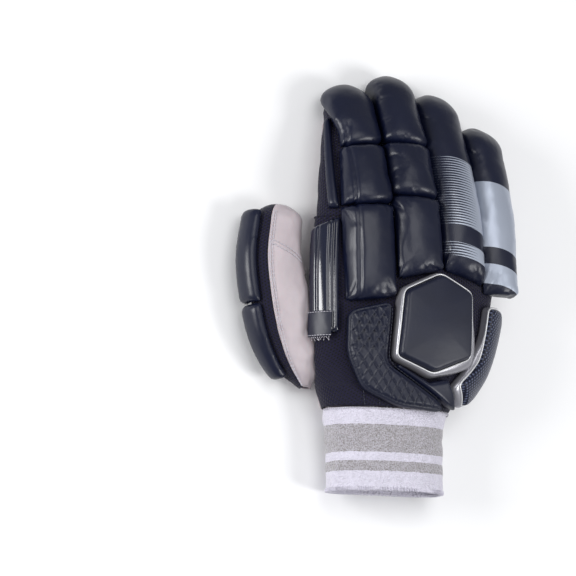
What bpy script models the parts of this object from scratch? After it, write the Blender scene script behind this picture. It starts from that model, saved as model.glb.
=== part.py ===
"""A right-hand cricket batting glove, lying palm down.

Metres, +Z up. The origin is on the surface that the glove lies on, under the middle of the wrist
strap. +Y runs to the fingertips, +X to the little finger, and the thumb is at -X. Lengths are
written in millimetres and turned to metres by one factor.
"""
import math
from collections import namedtuple

import bpy
import bmesh
from mathutils import Vector

MM = 0.001

# Driving sizes, in millimetres
CUFF_LENGTH = 57.5
CUFF_WIDTH = 90.0
CUFF_WALL = 3.0
PALM_LENGTH = 133.0
KNUCKLE_WIDTH = 145.0
HAND_DEPTH = 42.0
FABRIC = 1.6
LEATHER = 1.3
FINGER_WIDTH = 29.0
FINGER_DEPTH = 23.0
INDEX_LENGTH = 90.0
MIDDLE_LENGTH = 100.0
RING_LENGTH = 89.0
LITTLE_LENGTH = 67.0
FINGER_END = 13.0
ROLL_HEIGHT = 13.0
ROLL_EDGE = 1.6
NOSE = 9.0
SEAM_GAP = 1.0
THUMB_LENGTH = 131.0
THUMB_WIDTH = 42.0
THUMB_DEPTH = 30.0
THUMB_END = 14.0
THUMB_GUARD = 8.0
QUILT_HEIGHT = 8.0
BADGE_HEIGHT = 14.0
SURROUND_HEIGHT = 9.0
SIDE_PAD_HEIGHT = 9.0
STRIP_HEIGHT = 7.0
FLANK_HEIGHT = 5.0
BAR_HEIGHT = 4.5
TAG_THICKNESS = 0.9
STRAP_WIDTH = 42.0
STRAP_THICKNESS = 2.4
PATCH_THICKNESS = 1.5
HOOK_THICKNESS = 1.2
STRAP_TO_SEAM = 30.0
TOUCH = 0.4

# Places that follow from the driving sizes
FLAT_BOTTOM = PATCH_THICKNESS + STRAP_THICKNESS + 2.0 * TOUCH
WRIST_Y = STRAP_TO_SEAM
FORK_Y = WRIST_Y + PALM_LENGTH
CUFF_END_Y = WRIST_Y - CUFF_LENGTH

Section = namedtuple("Section", "y x left right z up down")

# The shell of the hand from the wrist seam to the finger forks. Along is a share of the palm's
# length, middle and half of the knuckle width, low and high of the hand's depth.
HandRow = namedtuple("HandRow", "along middle half low high")
HAND_ROWS = (
    HandRow(0.00, 0.003, 0.328, -0.05, 0.98),
    HandRow(0.12, 0.022, 0.385, -0.03, 0.99),
    HandRow(0.25, 0.045, 0.438, 0.03, 1.00),
    HandRow(0.45, 0.069, 0.469, 0.10, 1.03),
    HandRow(0.75, 0.090, 0.494, 0.19, 1.00),
    HandRow(1.00, 0.105, 0.497, 0.28, 0.93),
)
# The wristband. Along is a share of its length, half of its width, high of the hand's depth.
CuffRow = namedtuple("CuffRow", "along half high")
CUFF_ROWS = (
    CuffRow(0.00, 0.490, 0.94),
    CuffRow(0.35, 0.485, 0.92),
    CuffRow(0.70, 0.495, 0.93),
    CuffRow(0.95, 0.520, 0.97),
)
CUFF_SAG = 2.0
WIDEST_LEVEL = 0.42

# The digits. Root and end are the middle line's x as shares of the knuckle width, level is the
# height of the root as a share of the hand's depth, tilt turns the section, left is the outer
# half width as a share of the finger width, top and under of the finger depth, from and to are
# the angles that the padding covers.
Digit = namedtuple("Digit", "name length root end level tilt left top under pad_from pad_to")
DIGITS = (
    Digit("index", INDEX_LENGTH, -0.163, -0.186, 0.50, 0, 1.06, 0.78, 0.42, -6, 126),
    Digit("middle", MIDDLE_LENGTH, 0.097, 0.055, 0.66, 2, 0.50, 0.50, 0.50, -8, 188),
    Digit("ring", RING_LENGTH, 0.338, 0.286, 0.61, -8, 0.50, 0.50, 0.50, -8, 188),
    Digit("little", LITTLE_LENGTH, 0.556, 0.517, 0.44, -22, 0.50, 0.50, 0.50, 6, 190),
)
# Lines between the rolls, as shares of the knuckle width: at the knuckles and at the finger ends
Line = namedtuple("Line", "near far")
ROLL_LINES = (
    Line(-0.300, -0.318),
    Line(-0.034, -0.050),
    Line(0.226, 0.170),
    Line(0.460, 0.408),
    Line(0.670, 0.645),
)
LINE_NEAR_Y = FORK_Y - 0.3 * PALM_LENGTH
LINE_FAR_Y = FORK_Y + 0.9 * MIDDLE_LENGTH

# The padded segments. Start and stop are shares of the finger's length past the fork, or of the
# palm's length before it, and the slants are the rise of that seam from left to right as shares
# of the finger width.
Segment = namedtuple("Segment", "name digit start start_slant stop stop_slant")
SEGMENTS = (
    Segment("index_base_pad", 0, -0.433, 0.30, 0.09, 0.20),
    Segment("index_mid_pad", 0, 0.09, 0.20, 0.57, 0.22),
    Segment("index_tip_pad", 0, 0.57, 0.22, None, 0.0),
    Segment("middle_base_pad", 1, -0.293, 0.48, 0.15, -0.12),
    Segment("middle_mid_pad", 1, 0.15, -0.12, 0.54, -0.16),
    Segment("middle_tip_pad", 1, 0.54, -0.16, None, 0.0),
    Segment("ring_roll", 2, -0.301, -0.55, None, 0.0),
    Segment("little_roll", 3, -0.398, -0.41, None, 0.0),
)
# Padding height along a finger, as a share of the roll height
Swell = namedtuple("Swell", "along height")
SWELL = (Swell(-0.8, 0.95), Swell(0.0, 1.05), Swell(0.55, 0.95), Swell(1.0, 0.75))

# The thumb. Along is a share of its length from the heel, middle is its line's distance outward
# of the hand's edge at the heel as a share of the thumb width, left and right are half widths,
# level, up and down are shares of the thumb depth.
ThumbRow = namedtuple("ThumbRow", "along middle left right level up down")
THUMB_ROWS = (
    ThumbRow(0.00, 0.02, 0.08, 0.16, 0.44, 0.12, 0.12),
    ThumbRow(0.10, 0.19, 0.31, 0.46, 0.46, 0.36, 0.34),
    ThumbRow(0.26, 0.36, 0.45, 0.58, 0.49, 0.48, 0.43),
    ThumbRow(0.46, 0.50, 0.48, 0.62, 0.52, 0.52, 0.46),
    ThumbRow(0.68, 0.58, 0.48, 0.47, 0.54, 0.52, 0.47),
    ThumbRow(0.88, 0.52, 0.44, 0.42, 0.50, 0.47, 0.44),
)
THUMB_HEEL_Y = WRIST_Y + 0.10 * PALM_LENGTH
THUMB_HEEL_X = -0.40 * KNUCKLE_WIDTH

# Outlines on the back of the hand: x as a share of the knuckle width, y as a share of the palm's
# length from the wrist seam.
Spot = namedtuple("Spot", "x y")
BADGE = (
    Spot(0.183, 0.700), Spot(0.345, 0.615), Spot(0.335, 0.285),
    Spot(0.135, 0.185), Spot(-0.046, 0.262), Spot(-0.008, 0.600),
)
BADGE_MIDDLE = Spot(0.155, 0.440)
QUILT = (
    Spot(-0.275, 0.490), Spot(-0.062, 0.550), Spot(-0.090, 0.225), Spot(0.205, 0.033),
    Spot(0.200, -0.010), Spot(-0.030, 0.000), Spot(-0.200, 0.080), Spot(-0.275, 0.270),
)
STRIP = (
    Spot(-0.032, 0.222), Spot(0.131, 0.135), Spot(0.235, 0.165), Spot(0.275, 0.085),
    Spot(0.285, 0.015), Spot(0.232, 0.028), Spot(-0.034, 0.198),
)
# The pad round the little finger's side: angles round the hand, and shares of the palm's length
Flank = namedtuple("Flank", "angle along")
SIDE_PAD = (
    Flank(38.0, 0.560), Flank(20.0, 0.570), Flank(1.0, 0.450), Flank(3.0, 0.160),
    Flank(28.0, 0.050), Flank(50.0, 0.150), Flank(37.0, 0.290),
)


def between(rows, key, value):
    """Blend the rows of a table smoothly at a value of one column."""
    keys = [getattr(row, key) for row in rows]
    last = len(rows) - 1
    if value <= keys[0]:
        k, share = 0, 0.0
    elif value >= keys[last]:
        k, share = last - 1, 1.0
    else:
        k = max(i for i in range(last) if keys[i] <= value)
        share = (value - keys[k]) / (keys[k + 1] - keys[k])
    wide = keys[k + 1] - keys[k]
    near, far = rows[k], rows[k + 1]
    before, after = rows[max(k - 1, 0)], rows[min(k + 2, last)]
    fields = []
    for name in near._fields:
        a, b, c, d = (getattr(row, name) for row in (before, near, far, after))
        slope_b = (c - a) * wide / max(keys[k + 1] - keys[max(k - 1, 0)], 1e-6)
        slope_c = (d - b) * wide / max(keys[min(k + 2, last)] - keys[k], 1e-6)
        fields.append(
            b + share * slope_b
            + share ** 2 * (3.0 * (c - b) - 2.0 * slope_b - slope_c)
            + share ** 3 * (2.0 * (b - c) + slope_b + slope_c)
        )
    return type(near)(*fields)


def mix(a, b, share):
    return a + (b - a) * share


class Skin:
    """A tube along Y whose sections are squashed ovals, with a rounded end if it has one."""

    def __init__(self, sections, end=0.0, tilt=0.0, upper=2.3, lower=2.8, floor=None):
        self.sections = sections
        self.end = end
        self.tilt = math.radians(tilt)
        self.upper, self.lower = upper, lower
        self.floor = floor
        self.straight = sections[-1].y
        self.last = self.straight + end * math.pi / 2.0

    def section(self, s):
        if s <= self.straight or not self.end:
            return between(self.sections, "y", s), 1.0
        turn = min((s - self.straight) / self.end, math.pi / 2.0)
        row = self.sections[-1]
        before = between(self.sections, "y", row.y - 1.0)
        along = self.end * math.sin(turn)
        drop = (row.z - before.z) * along
        lean = (row.x - before.x) * along
        row = row._replace(y=row.y + along, z=row.z + drop, x=row.x + lean)
        return row, math.cos(turn)

    def base(self, s, angle):
        row, scale = self.section(s)
        c, d = math.cos(math.radians(angle)), math.sin(math.radians(angle))
        power = self.upper if d >= 0 else self.lower
        across = math.copysign(abs(c) ** (2.0 / power), c) * (row.right if c >= 0 else row.left)
        height = math.copysign(abs(d) ** (2.0 / power), d) * (row.up if d >= 0 else row.down)
        turned_x = (across * math.cos(self.tilt) - height * math.sin(self.tilt)) * scale
        turned_z = (across * math.sin(self.tilt) + height * math.cos(self.tilt)) * scale
        z = row.z + turned_z
        if self.floor is not None:
            z = max(z, self.floor)
        return Vector((row.x + turned_x, row.y, z))

    def normal(self, s, angle):
        row, _ = self.section(s)
        point = self.base(s, angle)
        if self.floor is not None and point.z <= self.floor:
            return Vector((0.0, 0.0, -1.0))
        c, d = math.cos(math.radians(angle)), math.sin(math.radians(angle))
        power = self.upper if d >= 0 else self.lower
        slope = 2.0 - 2.0 / power
        nx = math.copysign(abs(c) ** slope, c) / (row.right if c >= 0 else row.left)
        nz = math.copysign(abs(d) ** slope, d) / (row.up if d >= 0 else row.down)
        flat_x = nx * math.cos(self.tilt) - nz * math.sin(self.tilt)
        flat_z = nx * math.sin(self.tilt) + nz * math.cos(self.tilt)
        ahead = min(s + 0.5, self.last) if self.end else s + 0.5
        way = (self.base(ahead, angle) - self.base(ahead - 1.0, angle)).normalized()
        out = Vector((flat_x * way.y, -(flat_x * way.x + flat_z * way.z), flat_z * way.y))
        return out.normalized()

    def point(self, s, angle, out=0.0):
        return self.base(s, angle) + self.normal(s, angle) * out

    def angle_at(self, x, s, above=True):
        row, _ = self.section(s)
        side = row.right if x >= row.x else row.left
        power = self.upper if above else self.lower
        share = min(abs(x - row.x) / side, 0.999) ** (power / 2.0)
        angle = math.degrees(math.acos(math.copysign(share, x - row.x)))
        return angle if above else 360.0 - angle

    def over(self, x, s):
        return self.base(s, self.angle_at(x, s)).z

    def under(self, x, s):
        return self.base(s, self.angle_at(x, s, above=False)).z


def body_skin():
    """The hand's shell and the wristband share one surface, flattened where they lie."""
    rows = []
    for row in CUFF_ROWS:
        low = FLAT_BOTTOM - CUFF_SAG
        high = FLAT_BOTTOM + row.high * HAND_DEPTH
        half = row.half * CUFF_WIDTH
        middle = mix(low, high, WIDEST_LEVEL)
        y = CUFF_END_Y + row.along * CUFF_LENGTH
        rows.append(Section(y, 0.0, half, half, middle, high - middle, middle - low))
    for row in HAND_ROWS:
        low = FLAT_BOTTOM + row.low * HAND_DEPTH
        high = FLAT_BOTTOM + row.high * HAND_DEPTH
        half = row.half * KNUCKLE_WIDTH
        middle = mix(low, high, WIDEST_LEVEL)
        y = WRIST_Y + row.along * PALM_LENGTH
        x = row.middle * KNUCKLE_WIDTH
        rows.append(Section(y, x, half, half, middle, high - middle, middle - low))
    return Skin(rows, floor=FLAT_BOTTOM)


def digit_skin(digit):
    """A finger's fabric tube, straight at the fork and curling down to the surface."""
    half = 0.5 * FINGER_WIDTH
    root_x, end_x = digit.root * KNUCKLE_WIDTH, digit.end * KNUCKLE_WIDTH
    root_z = FLAT_BOTTOM + digit.level * HAND_DEPTH
    sideways = 0.8 * half * math.sin(math.radians(abs(digit.tilt)))
    end_z = 0.45 * FINGER_DEPTH + LEATHER + 4.5 * TOUCH + sideways
    straight = digit.length - FINGER_END
    rows = []
    for share in (-0.9, -0.4, 0.0, 0.25, 0.5, 0.75, 1.0):
        curl = max(share, 0.0) ** 1.5
        slim = 1.0 - 0.10 * max(share, 0.0)
        left = mix(digit.left * FINGER_WIDTH, half * 1.18 if digit.left > 0.6 else half, curl)
        top = mix(digit.top, 0.5, curl) * FINGER_DEPTH * slim
        under = mix(digit.under, 0.45, curl) * FINGER_DEPTH * slim
        rows.append(Section(
            FORK_Y + share * straight, mix(root_x, end_x, share),
            left * slim, half * slim, mix(root_z, end_z, curl), top, under,
        ))
    return Skin(rows, end=FINGER_END, tilt=digit.tilt, upper=2.3, lower=2.5)


def thumb_skin():
    rows = []
    for row in THUMB_ROWS:
        rows.append(Section(
            THUMB_HEEL_Y + row.along * THUMB_LENGTH,
            THUMB_HEEL_X - row.middle * THUMB_WIDTH,
            row.left * THUMB_WIDTH, row.right * THUMB_WIDTH,
            row.level * THUMB_DEPTH, row.up * THUMB_DEPTH, row.down * THUMB_DEPTH,
        ))
    return Skin(rows, end=THUMB_END, upper=2.2, lower=2.4)


def roll_line(k, y):
    line = ROLL_LINES[k]
    share = (y - LINE_NEAR_Y) / (LINE_FAR_Y - LINE_NEAR_Y)
    return mix(line.near, line.far, share) * KNUCKLE_WIDTH


BODY = body_skin()
FINGERS = [digit_skin(digit) for digit in DIGITS]
THUMB = thumb_skin()


def steps(start, stop, count):
    return [mix(start, stop, i / count) for i in range(count + 1)]


def material(name, colour, roughness, metallic=0.0):
    made = bpy.data.materials.new(name)
    made.use_nodes = True
    shader = made.node_tree.nodes["Principled BSDF"]
    shader.inputs["Base Color"].default_value = (*colour, 1.0)
    shader.inputs["Roughness"].default_value = roughness
    shader.inputs["Metallic"].default_value = metallic
    return made


class Solid:
    """Collects points and faces, joins points that coincide, and makes the object."""

    def __init__(self):
        self.mesh = bmesh.new()
        self.known = {}

    def vertex(self, point):
        key = tuple(round(value, 5) for value in point)
        if key not in self.known:
            self.known[key] = self.mesh.verts.new(point * MM)
        return self.known[key]

    def face(self, *points):
        corners = []
        for point in points:
            corner = self.vertex(point)
            if corner not in corners:
                corners.append(corner)
        if len(corners) > 2:
            self.mesh.faces.new(corners)

    def finish(self, name, finish, parent_collection):
        bmesh.ops.recalc_face_normals(self.mesh, faces=self.mesh.faces)
        if self.mesh.calc_volume(signed=True) < 0.0:
            bmesh.ops.reverse_faces(self.mesh, faces=self.mesh.faces)
        data = bpy.data.meshes.new(name)
        self.mesh.to_mesh(data)
        self.mesh.free()
        data.shade_smooth()
        data.set_sharp_from_angle(angle=math.radians(40.0))
        data.materials.append(finish)
        made = bpy.data.objects.new(name, data)
        parent_collection.objects.link(made)
        return made


def walled(inner, outer, wrap=False, keep=None):
    """A wall between two grids of points. Keep says which cells of the grid are there."""
    solid = Solid()
    rows, columns = len(outer) - 1, len(outer[0]) - (0 if wrap else 1)

    def kept(i, j):
        if wrap:
            j %= columns
        elif not 0 <= j < columns:
            return False
        return 0 <= i < rows and (keep is None or keep(i, j))

    for i in range(rows):
        for j in range(columns):
            if not kept(i, j):
                continue
            right = (j + 1) % len(outer[0])
            for grid in (inner, outer):
                solid.face(grid[i][j], grid[i][right], grid[i + 1][right])
                solid.face(grid[i][j], grid[i + 1][right], grid[i + 1][j])
            edges = (
                ((i - 1, j), (i, j), (i, right)),
                ((i + 1, j), (i + 1, j), (i + 1, right)),
                ((i, j - 1), (i, j), (i + 1, j)),
                ((i, j + 1), (i, right), (i + 1, right)),
            )
            for neighbour, a, b in edges:
                if not kept(*neighbour):
                    solid.face(inner[a[0]][a[1]], inner[b[0]][b[1]],
                               outer[b[0]][b[1]], outer[a[0]][a[1]])
    return solid


def layers(skin, rows, columns, inside, outside):
    """Two grids on a skin. Inside and outside give the distance from it at a row and column."""
    inner = [[skin.point(s, a, inside(s, a)) for a in columns] for s in rows]
    outer = [[skin.point(s, a, outside(s, a)) for a in columns] for s in rows]
    return inner, outer


def shares(values):
    """Cell edges for a padded piece: fine at both ends, so that its rim is round."""
    return [-value for value in reversed(values)] + [0.0] + list(values)


PAD_ACROSS = shares([0.24, 0.47, 0.68, 0.86, 1.0])


def bulge(share, power=2.6):
    return max(0.0, 1.0 - abs(share) ** power) ** (1.0 / power)


HOOD_REACH = -76.0
PAD_SEAT = 0.6


def finger_pad(segment):
    """A padded segment on a finger, its end wrapping the fingertip if it is the last one."""
    digit, skin = DIGITS[segment.digit], FINGERS[segment.digit]
    start = FORK_Y + segment.start * (digit.length if segment.start > 0.0 else PALM_LENGTH)
    last = segment.stop is None
    stop = skin.last if last else FORK_Y + segment.stop * digit.length
    middle = 0.5 * (digit.pad_to + digit.pad_from)
    rim, soft = 1.2, 4.5
    if last:
        tip = skin.straight
        count = max(2, round((tip - start) / 19.0))
        rows = [start, start + rim, start + soft] + steps(start + 10.0, tip, count)
        rows += steps(tip, stop, 5)[1:]
    else:
        count = max(1, round((stop - start) / 14.0))
        rows = [start, start + rim] + steps(start + soft, stop - soft, count)
        rows += [stop - rim, stop]
    if start < FORK_Y - soft and FORK_Y + soft < stop:
        rows = sorted([s for s in rows if abs(s - FORK_Y) > soft] + [FORK_Y - 2.0, FORK_Y + 3.0])
    inner, outer = [], []
    for s in rows:
        hood = max(0.0, (s - skin.straight) / (skin.last - skin.straight)) if last else 0.0
        wrap = 1.0 - (1.0 - hood) ** 3
        reach_down = mix(digit.pad_from, HOOD_REACH, wrap)
        reach_up = mix(digit.pad_to, 180.0 - HOOD_REACH, wrap)
        along = (s - FORK_Y) / digit.length
        height = ROLL_HEIGHT * between(SWELL, "along", along).height
        near_end = min(s - start, rim + soft if last else stop - s)
        round_end = bulge(1.0 - min(near_end / soft, 1.0), 2.0)
        inner_row, outer_row = [], []
        for v in reversed(PAD_ACROSS):
            angle = mix(middle, reach_down, v) if v > 0 else mix(middle, reach_up, -v)
            row_share = (s - start) / (stop - start)
            slant_start = (1.0 - row_share) * segment.start_slant
            slant_stop = row_share * segment.stop_slant
            lean = 0.5 * v * (slant_start + slant_stop) * FINGER_WIDTH
            if last:
                lean *= 1.0 - min(1.0, row_share * 1.2)
            place = min(s + lean, skin.last)
            if not last and s == stop:
                place -= 0.5 * SEAM_GAP
            if s == start:
                place += 0.5 * SEAM_GAP
            turn = (angle - middle) / (0.5 * (digit.pad_to - digit.pad_from) + 30.0 * wrap)
            swell = bulge(min(max(turn, -1.0), 1.0), 2.4) * mix(0.35, 1.0, round_end)
            thick = ROLL_EDGE + (height - ROLL_EDGE) * swell
            clear = PAD_SEAT + max(2.8 * wrap, 3.0 if last and s >= skin.straight else 0.0)
            under = skin.point(place, angle, clear)
            top = skin.point(place, angle, clear + thick)
            lift = BODY.over(under.x, min(under.y, FORK_Y)) + TOUCH * 1.5
            lift -= 1.4 * max(0.0, under.y - FORK_Y - 6.0)
            if under.z < lift and angle > -30 and angle < 210:
                under.z = lift
                top.z = max(top.z, under.z + mix(ROLL_EDGE, 0.6 * height, bulge(v) * round_end))
            for point, room in ((under, 0.8), (top, 0.0)):
                left = roll_line(segment.digit, point.y) + 0.5 * TOUCH + room
                right = roll_line(segment.digit + 1, point.y) - 0.5 * TOUCH - room
                point.x = min(max(point.x, left), right)
            inner_row.append(under)
            outer_row.append(top)
        inner.append(inner_row)
        outer.append(outer_row)
    if last:
        end = skin.base(skin.last, 90.0)
        way = (end - skin.base(skin.last - 4.0, 90.0).lerp(skin.base(skin.last - 4.0, 270.0), 0.5))
        way.normalize()
        inner[-1] = [end + way * TOUCH] * len(PAD_ACROSS)
        outer[-1] = [end + way * (TOUCH + NOSE)] * len(PAD_ACROSS)
    return walled(inner, outer)


SLEEVE_SIDES = 16


def sleeve(skin):
    """A finger's fabric tube, closed at its end."""
    rows = steps(FORK_Y + TOUCH, skin.straight, 4) + steps(skin.straight, skin.last, 3)[1:]
    columns = steps(0.0, 360.0, SLEEVE_SIDES)[:-1]
    inner, outer = layers(skin, rows, columns, lambda s, a: -FABRIC, lambda s, a: 0.0)
    apex = skin.base(skin.last, 90.0)
    outer[-1] = [apex] * len(columns)
    inner[-1] = [apex + Vector((0.0, -FABRIC, 0.0))] * len(columns)
    return walled(inner, outer, wrap=True)


# The white front of a finger covers this many degrees either side of its underside
FRONT_REACH = 50.0
FRONT_COLUMNS = 4
FRONT_ROWS = 5
PALM_ROWS = 7
LEATHER_SEAT = 0.6
PALM_REACH_LEFT = 0.90
PALM_REACH_RIGHT = 0.95


def palm_leather():
    """The palm and the four finger fronts, one sheet of leather."""
    ends = []
    for skin in FINGERS:
        ends.append([skin.base(FORK_Y, 270.0 + FRONT_REACH * side).x for side in (-1.0, 1.0)])

    def column_places():
        """Each column's share of the hand's half width, and the finger and angle it runs into."""
        places = [(-PALM_REACH_LEFT, None, 0.0), (-0.95 * PALM_REACH_LEFT, None, 0.0)]
        near, far = ends[0][0], ends[-1][1]
        for k, (left, right) in enumerate(ends):
            for c in range(FRONT_COLUMNS + 1):
                side = 2.0 * c / FRONT_COLUMNS - 1.0
                across = (mix(left, right, c / FRONT_COLUMNS) - near) / (far - near)
                share = mix(-0.90 * PALM_REACH_LEFT, 0.92 * PALM_REACH_RIGHT, across)
                places.append((share, k, side))
        return places + [(0.96 * PALM_REACH_RIGHT, None, 0.0), (PALM_REACH_RIGHT, None, 0.0)]

    places = column_places()
    inner, outer = [], []
    for s in steps(WRIST_Y + TOUCH, FORK_Y - 6.0, PALM_ROWS):
        here, _ = BODY.section(s)
        inner_row, outer_row = [], []
        for share, _, _ in places:
            angle = BODY.angle_at(here.x + share * here.left, s, above=False)
            inner_row.append(BODY.point(s, angle, LEATHER_SEAT))
            outer_row.append(BODY.point(s, angle, LEATHER_SEAT + LEATHER))
        inner.append(inner_row)
        outer.append(outer_row)
    for i in range(FRONT_ROWS + 1):
        inner_row, outer_row = [], []
        for share, k, side in places:
            if k is None:
                k, side = (0, -1.0) if share < 0.0 else (len(FINGERS) - 1, 1.0)
            skin = FINGERS[k]
            begin, end = FORK_Y, skin.straight + 0.35 * skin.end
            tail = min(1.0, i / FRONT_ROWS)
            s = mix(begin, end, math.sin(tail * math.pi / 2.0) if tail > 0.0 else 0.0)
            round_off = 0.5 * FINGER_WIDTH
            from_end = min(1.0, (end - s) / round_off)
            reach = FRONT_REACH * max(0.12, math.sqrt(1.0 - (1.0 - from_end) ** 2))
            angle = 270.0 + reach * side
            inner_row.append(skin.point(s, angle, LEATHER_SEAT))
            outer_row.append(skin.point(s, angle, LEATHER_SEAT + LEATHER))
        inner.append(inner_row)
        outer.append(outer_row)

    def keep(i, j):
        if i <= PALM_ROWS:
            return True
        left, right = places[j][1], places[j + 1][1]
        return left is not None and left == right

    return walled(inner, outer, keep=keep)


# The opening for the thumb, in the hand's flank: shares of the palm's length, and angles
THUMB_HOLE_FROM = 0.12
THUMB_HOLE_TO = 0.66
THUMB_HOLE_ANGLE = 178.0
THUMB_CLEAR = 1.3
BACK_FROM = -38.0
BACK_TO = 216.0


def thumb_edge(s):
    """The angle at which the hand's flank comes down to the thumb."""
    row, _ = THUMB.section(s)
    for angle in steps(160.0, 186.0, 52):
        point = BODY.point(s, angle, -FABRIC)
        across = abs(point.x - row.x) / (row.right + THUMB_CLEAR)
        height = abs(point.z - row.z) / (row.up + THUMB_CLEAR)
        if across ** 2.2 + height ** 2.2 < 1.0:
            break
    return angle


def hand_back():
    """Navy mesh and fabric over the back and both flanks, open at the thumb."""
    hole = (WRIST_Y + THUMB_HOLE_FROM * PALM_LENGTH, WRIST_Y + THUMB_HOLE_TO * PALM_LENGTH)
    rows = [WRIST_Y + TOUCH] + steps(hole[0], hole[1], 6)
    rows += steps(hole[1], FORK_Y - TOUCH, 3)[1:]
    columns = steps(BACK_FROM, THUMB_HOLE_ANGLE, 14) + [190.0, 203.0, BACK_TO]
    inner, outer = [], []
    for s in rows:
        angles = list(columns)
        if hole[0] <= s <= hole[1]:
            angles[14] = thumb_edge(s)
        inner.append([BODY.point(s, a, -FABRIC) for a in angles])
        outer.append([BODY.point(s, a) for a in angles])

    def keep(i, j):
        middle = 0.5 * (rows[i] + rows[i + 1])
        return columns[j] < THUMB_HOLE_ANGLE - 1.0 or not hole[0] < middle < hole[1]

    return walled(inner, outer, keep=keep)


# Angles round the thumb where leather and mesh meet, and where the thumb opens into the hand
THUMB_SEAM_BACK = 122.0
THUMB_SEAM_PALM = -104.0
THUMB_OPEN_FROM = -26.0
THUMB_OPEN_TO = 40.0


def thumb_rows():
    open_until = WRIST_Y + THUMB_HOLE_TO * PALM_LENGTH + 4.0
    rows = steps(THUMB_HEEL_Y, open_until, 6) + steps(open_until, THUMB.straight, 2)[1:]
    return rows + steps(THUMB.straight, THUMB.last - 0.6, 3)[1:], open_until


def thumb_leather():
    rows, open_until = thumb_rows()
    columns = steps(THUMB_SEAM_PALM, THUMB_OPEN_FROM, 4)
    columns += steps(THUMB_OPEN_FROM, THUMB_OPEN_TO, 3)[1:]
    columns += steps(THUMB_OPEN_TO, THUMB_SEAM_BACK, 4)[1:]
    inner, outer = layers(THUMB, rows, columns, lambda s, a: -FABRIC, lambda s, a: 0.0)

    def keep(i, j):
        inside_hand = rows[i + 1] <= open_until + 0.01
        return not (inside_hand and THUMB_OPEN_FROM <= columns[j] < THUMB_OPEN_TO - 0.01)

    return walled(inner, outer, keep=keep)


def thumb_mesh():
    rows, _ = thumb_rows()
    gap = 1.2
    columns = steps(THUMB_SEAM_BACK + gap, 360.0 + THUMB_SEAM_PALM - gap, 7)
    inner, outer = layers(THUMB, rows, columns, lambda s, a: -FABRIC, lambda s, a: 0.0)
    return walled(inner, outer)


PAD_NARROW = shares([0.45, 0.8, 1.0])


def cushion(skin, start, stop, angle_from, angle_to, height, seat=TOUCH, edge=1.2, along=3,
            power=2.4):
    """A padded rectangle on a skin, with a round rim."""
    soft = min(4.0, 0.3 * (stop - start))
    rows = [start, start + 0.3 * soft] + steps(start + soft, stop - soft, along)
    rows += [stop - 0.3 * soft, stop]
    half = 0.5 * (angle_to - angle_from)
    middle = 0.5 * (angle_to + angle_from)
    columns = [middle + v * half for v in PAD_NARROW]

    def outside(s, a):
        across = bulge((a - middle) / half, power)
        end = bulge(1.0 - min(min(s - start, stop - s) / soft, 1.0), 2.0)
        return seat + edge + (height - edge) * across * mix(0.3, 1.0, end)

    inner, outer = layers(skin, rows, columns, lambda s, a: seat, outside)
    return walled(inner, outer)


def back_spot(spot):
    return Vector((spot.x * KNUCKLE_WIDTH, WRIST_Y + spot.y * PALM_LENGTH, 0.0))


def flank_spot(spot):
    return Vector((spot.angle, WRIST_Y + spot.along * PALM_LENGTH, 0.0))


def rounded(corners, corner, step):
    """Points along an outline with its corners rounded off, about a step apart."""
    points = []
    for k, here in enumerate(corners):
        before, after = corners[k - 1], corners[(k + 1) % len(corners)]
        cut_in = min(corner, 0.4 * (before - here).length)
        cut_out = min(corner, 0.4 * (after - here).length)
        first = here + (before - here).normalized() * cut_in
        final = here + (after - here).normalized() * cut_out
        for t in (0.0, 0.5, 1.0):
            points.append(first.lerp(here, t).lerp(here.lerp(final, t), t))
        cut_next = min(corner, 0.4 * (after - here).length)
        room = (after - here).length - cut_out - cut_next
        for n in range(1, max(1, round(room / step))):
            points.append(final.lerp(after, n * room / max(1, round(room / step))
                                     / (after - final).length))
    return points


def as_angles(points):
    return [Vector((BODY.angle_at(point.x, point.y), point.y, 0.0)) for point in points]


def on_back(place, out):
    """The point on the hand above a place, which holds an angle and a distance along."""
    return BODY.point(place.y, place.x, out)


# Millimetres round the flank to a degree of it
FLANK_SCALE = 0.85


def slab(outline, height, edge, rim=3.0, corner=4.0, step=14.0, seat=TOUCH):
    """A padded panel of any outline on the back of the hand, with a stepped round rim."""
    on_flank = isinstance(outline[0], Flank)
    if on_flank:
        corners = [flank_spot(spot) for spot in outline]
        for point in corners:
            point.x *= FLANK_SCALE
    else:
        corners = [back_spot(spot) for spot in outline]
    border = rounded(corners, corner, step)
    mesh = bmesh.new()
    low = [mesh.verts.new(point) for point in border]
    high = [mesh.verts.new((point.x, point.y, edge)) for point in border]
    mesh.faces.new(low)
    top = mesh.faces.new(high)
    for k in range(len(border)):
        n = (k + 1) % len(border)
        mesh.faces.new((low[k], low[n], high[n], high[k]))
    for inset, share in ((0.25 * rim, 0.72), (0.55 * rim, 0.97), (0.5 * rim, 1.04)):
        bmesh.ops.inset_region(mesh, faces=[top], thickness=inset, use_even_offset=False)
        for vertex in top.verts:
            vertex.co.z = mix(edge, height, share)
    for axis in (0, 1):
        values = [point[axis] for point in border]
        count = max(1, round((max(values) - min(values)) / step))
        for value in steps(min(values), max(values), count)[1:-1]:
            normal = Vector((0.0, 0.0, 0.0))
            normal[axis] = 1.0
            bmesh.ops.bisect_plane(
                mesh, geom=mesh.verts[:] + mesh.edges[:] + mesh.faces[:], dist=1e-4,
                plane_co=normal * (value + 0.137), plane_no=normal)
    bmesh.ops.triangulate(mesh, faces=mesh.faces[:])
    for vertex in mesh.verts:
        x, y, out = vertex.co
        angle = x / FLANK_SCALE if on_flank else BODY.angle_at(x, y)
        vertex.co = BODY.point(y, angle, seat + out) * MM
    solid = Solid()
    solid.mesh.free()
    solid.mesh = mesh
    return solid


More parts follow.
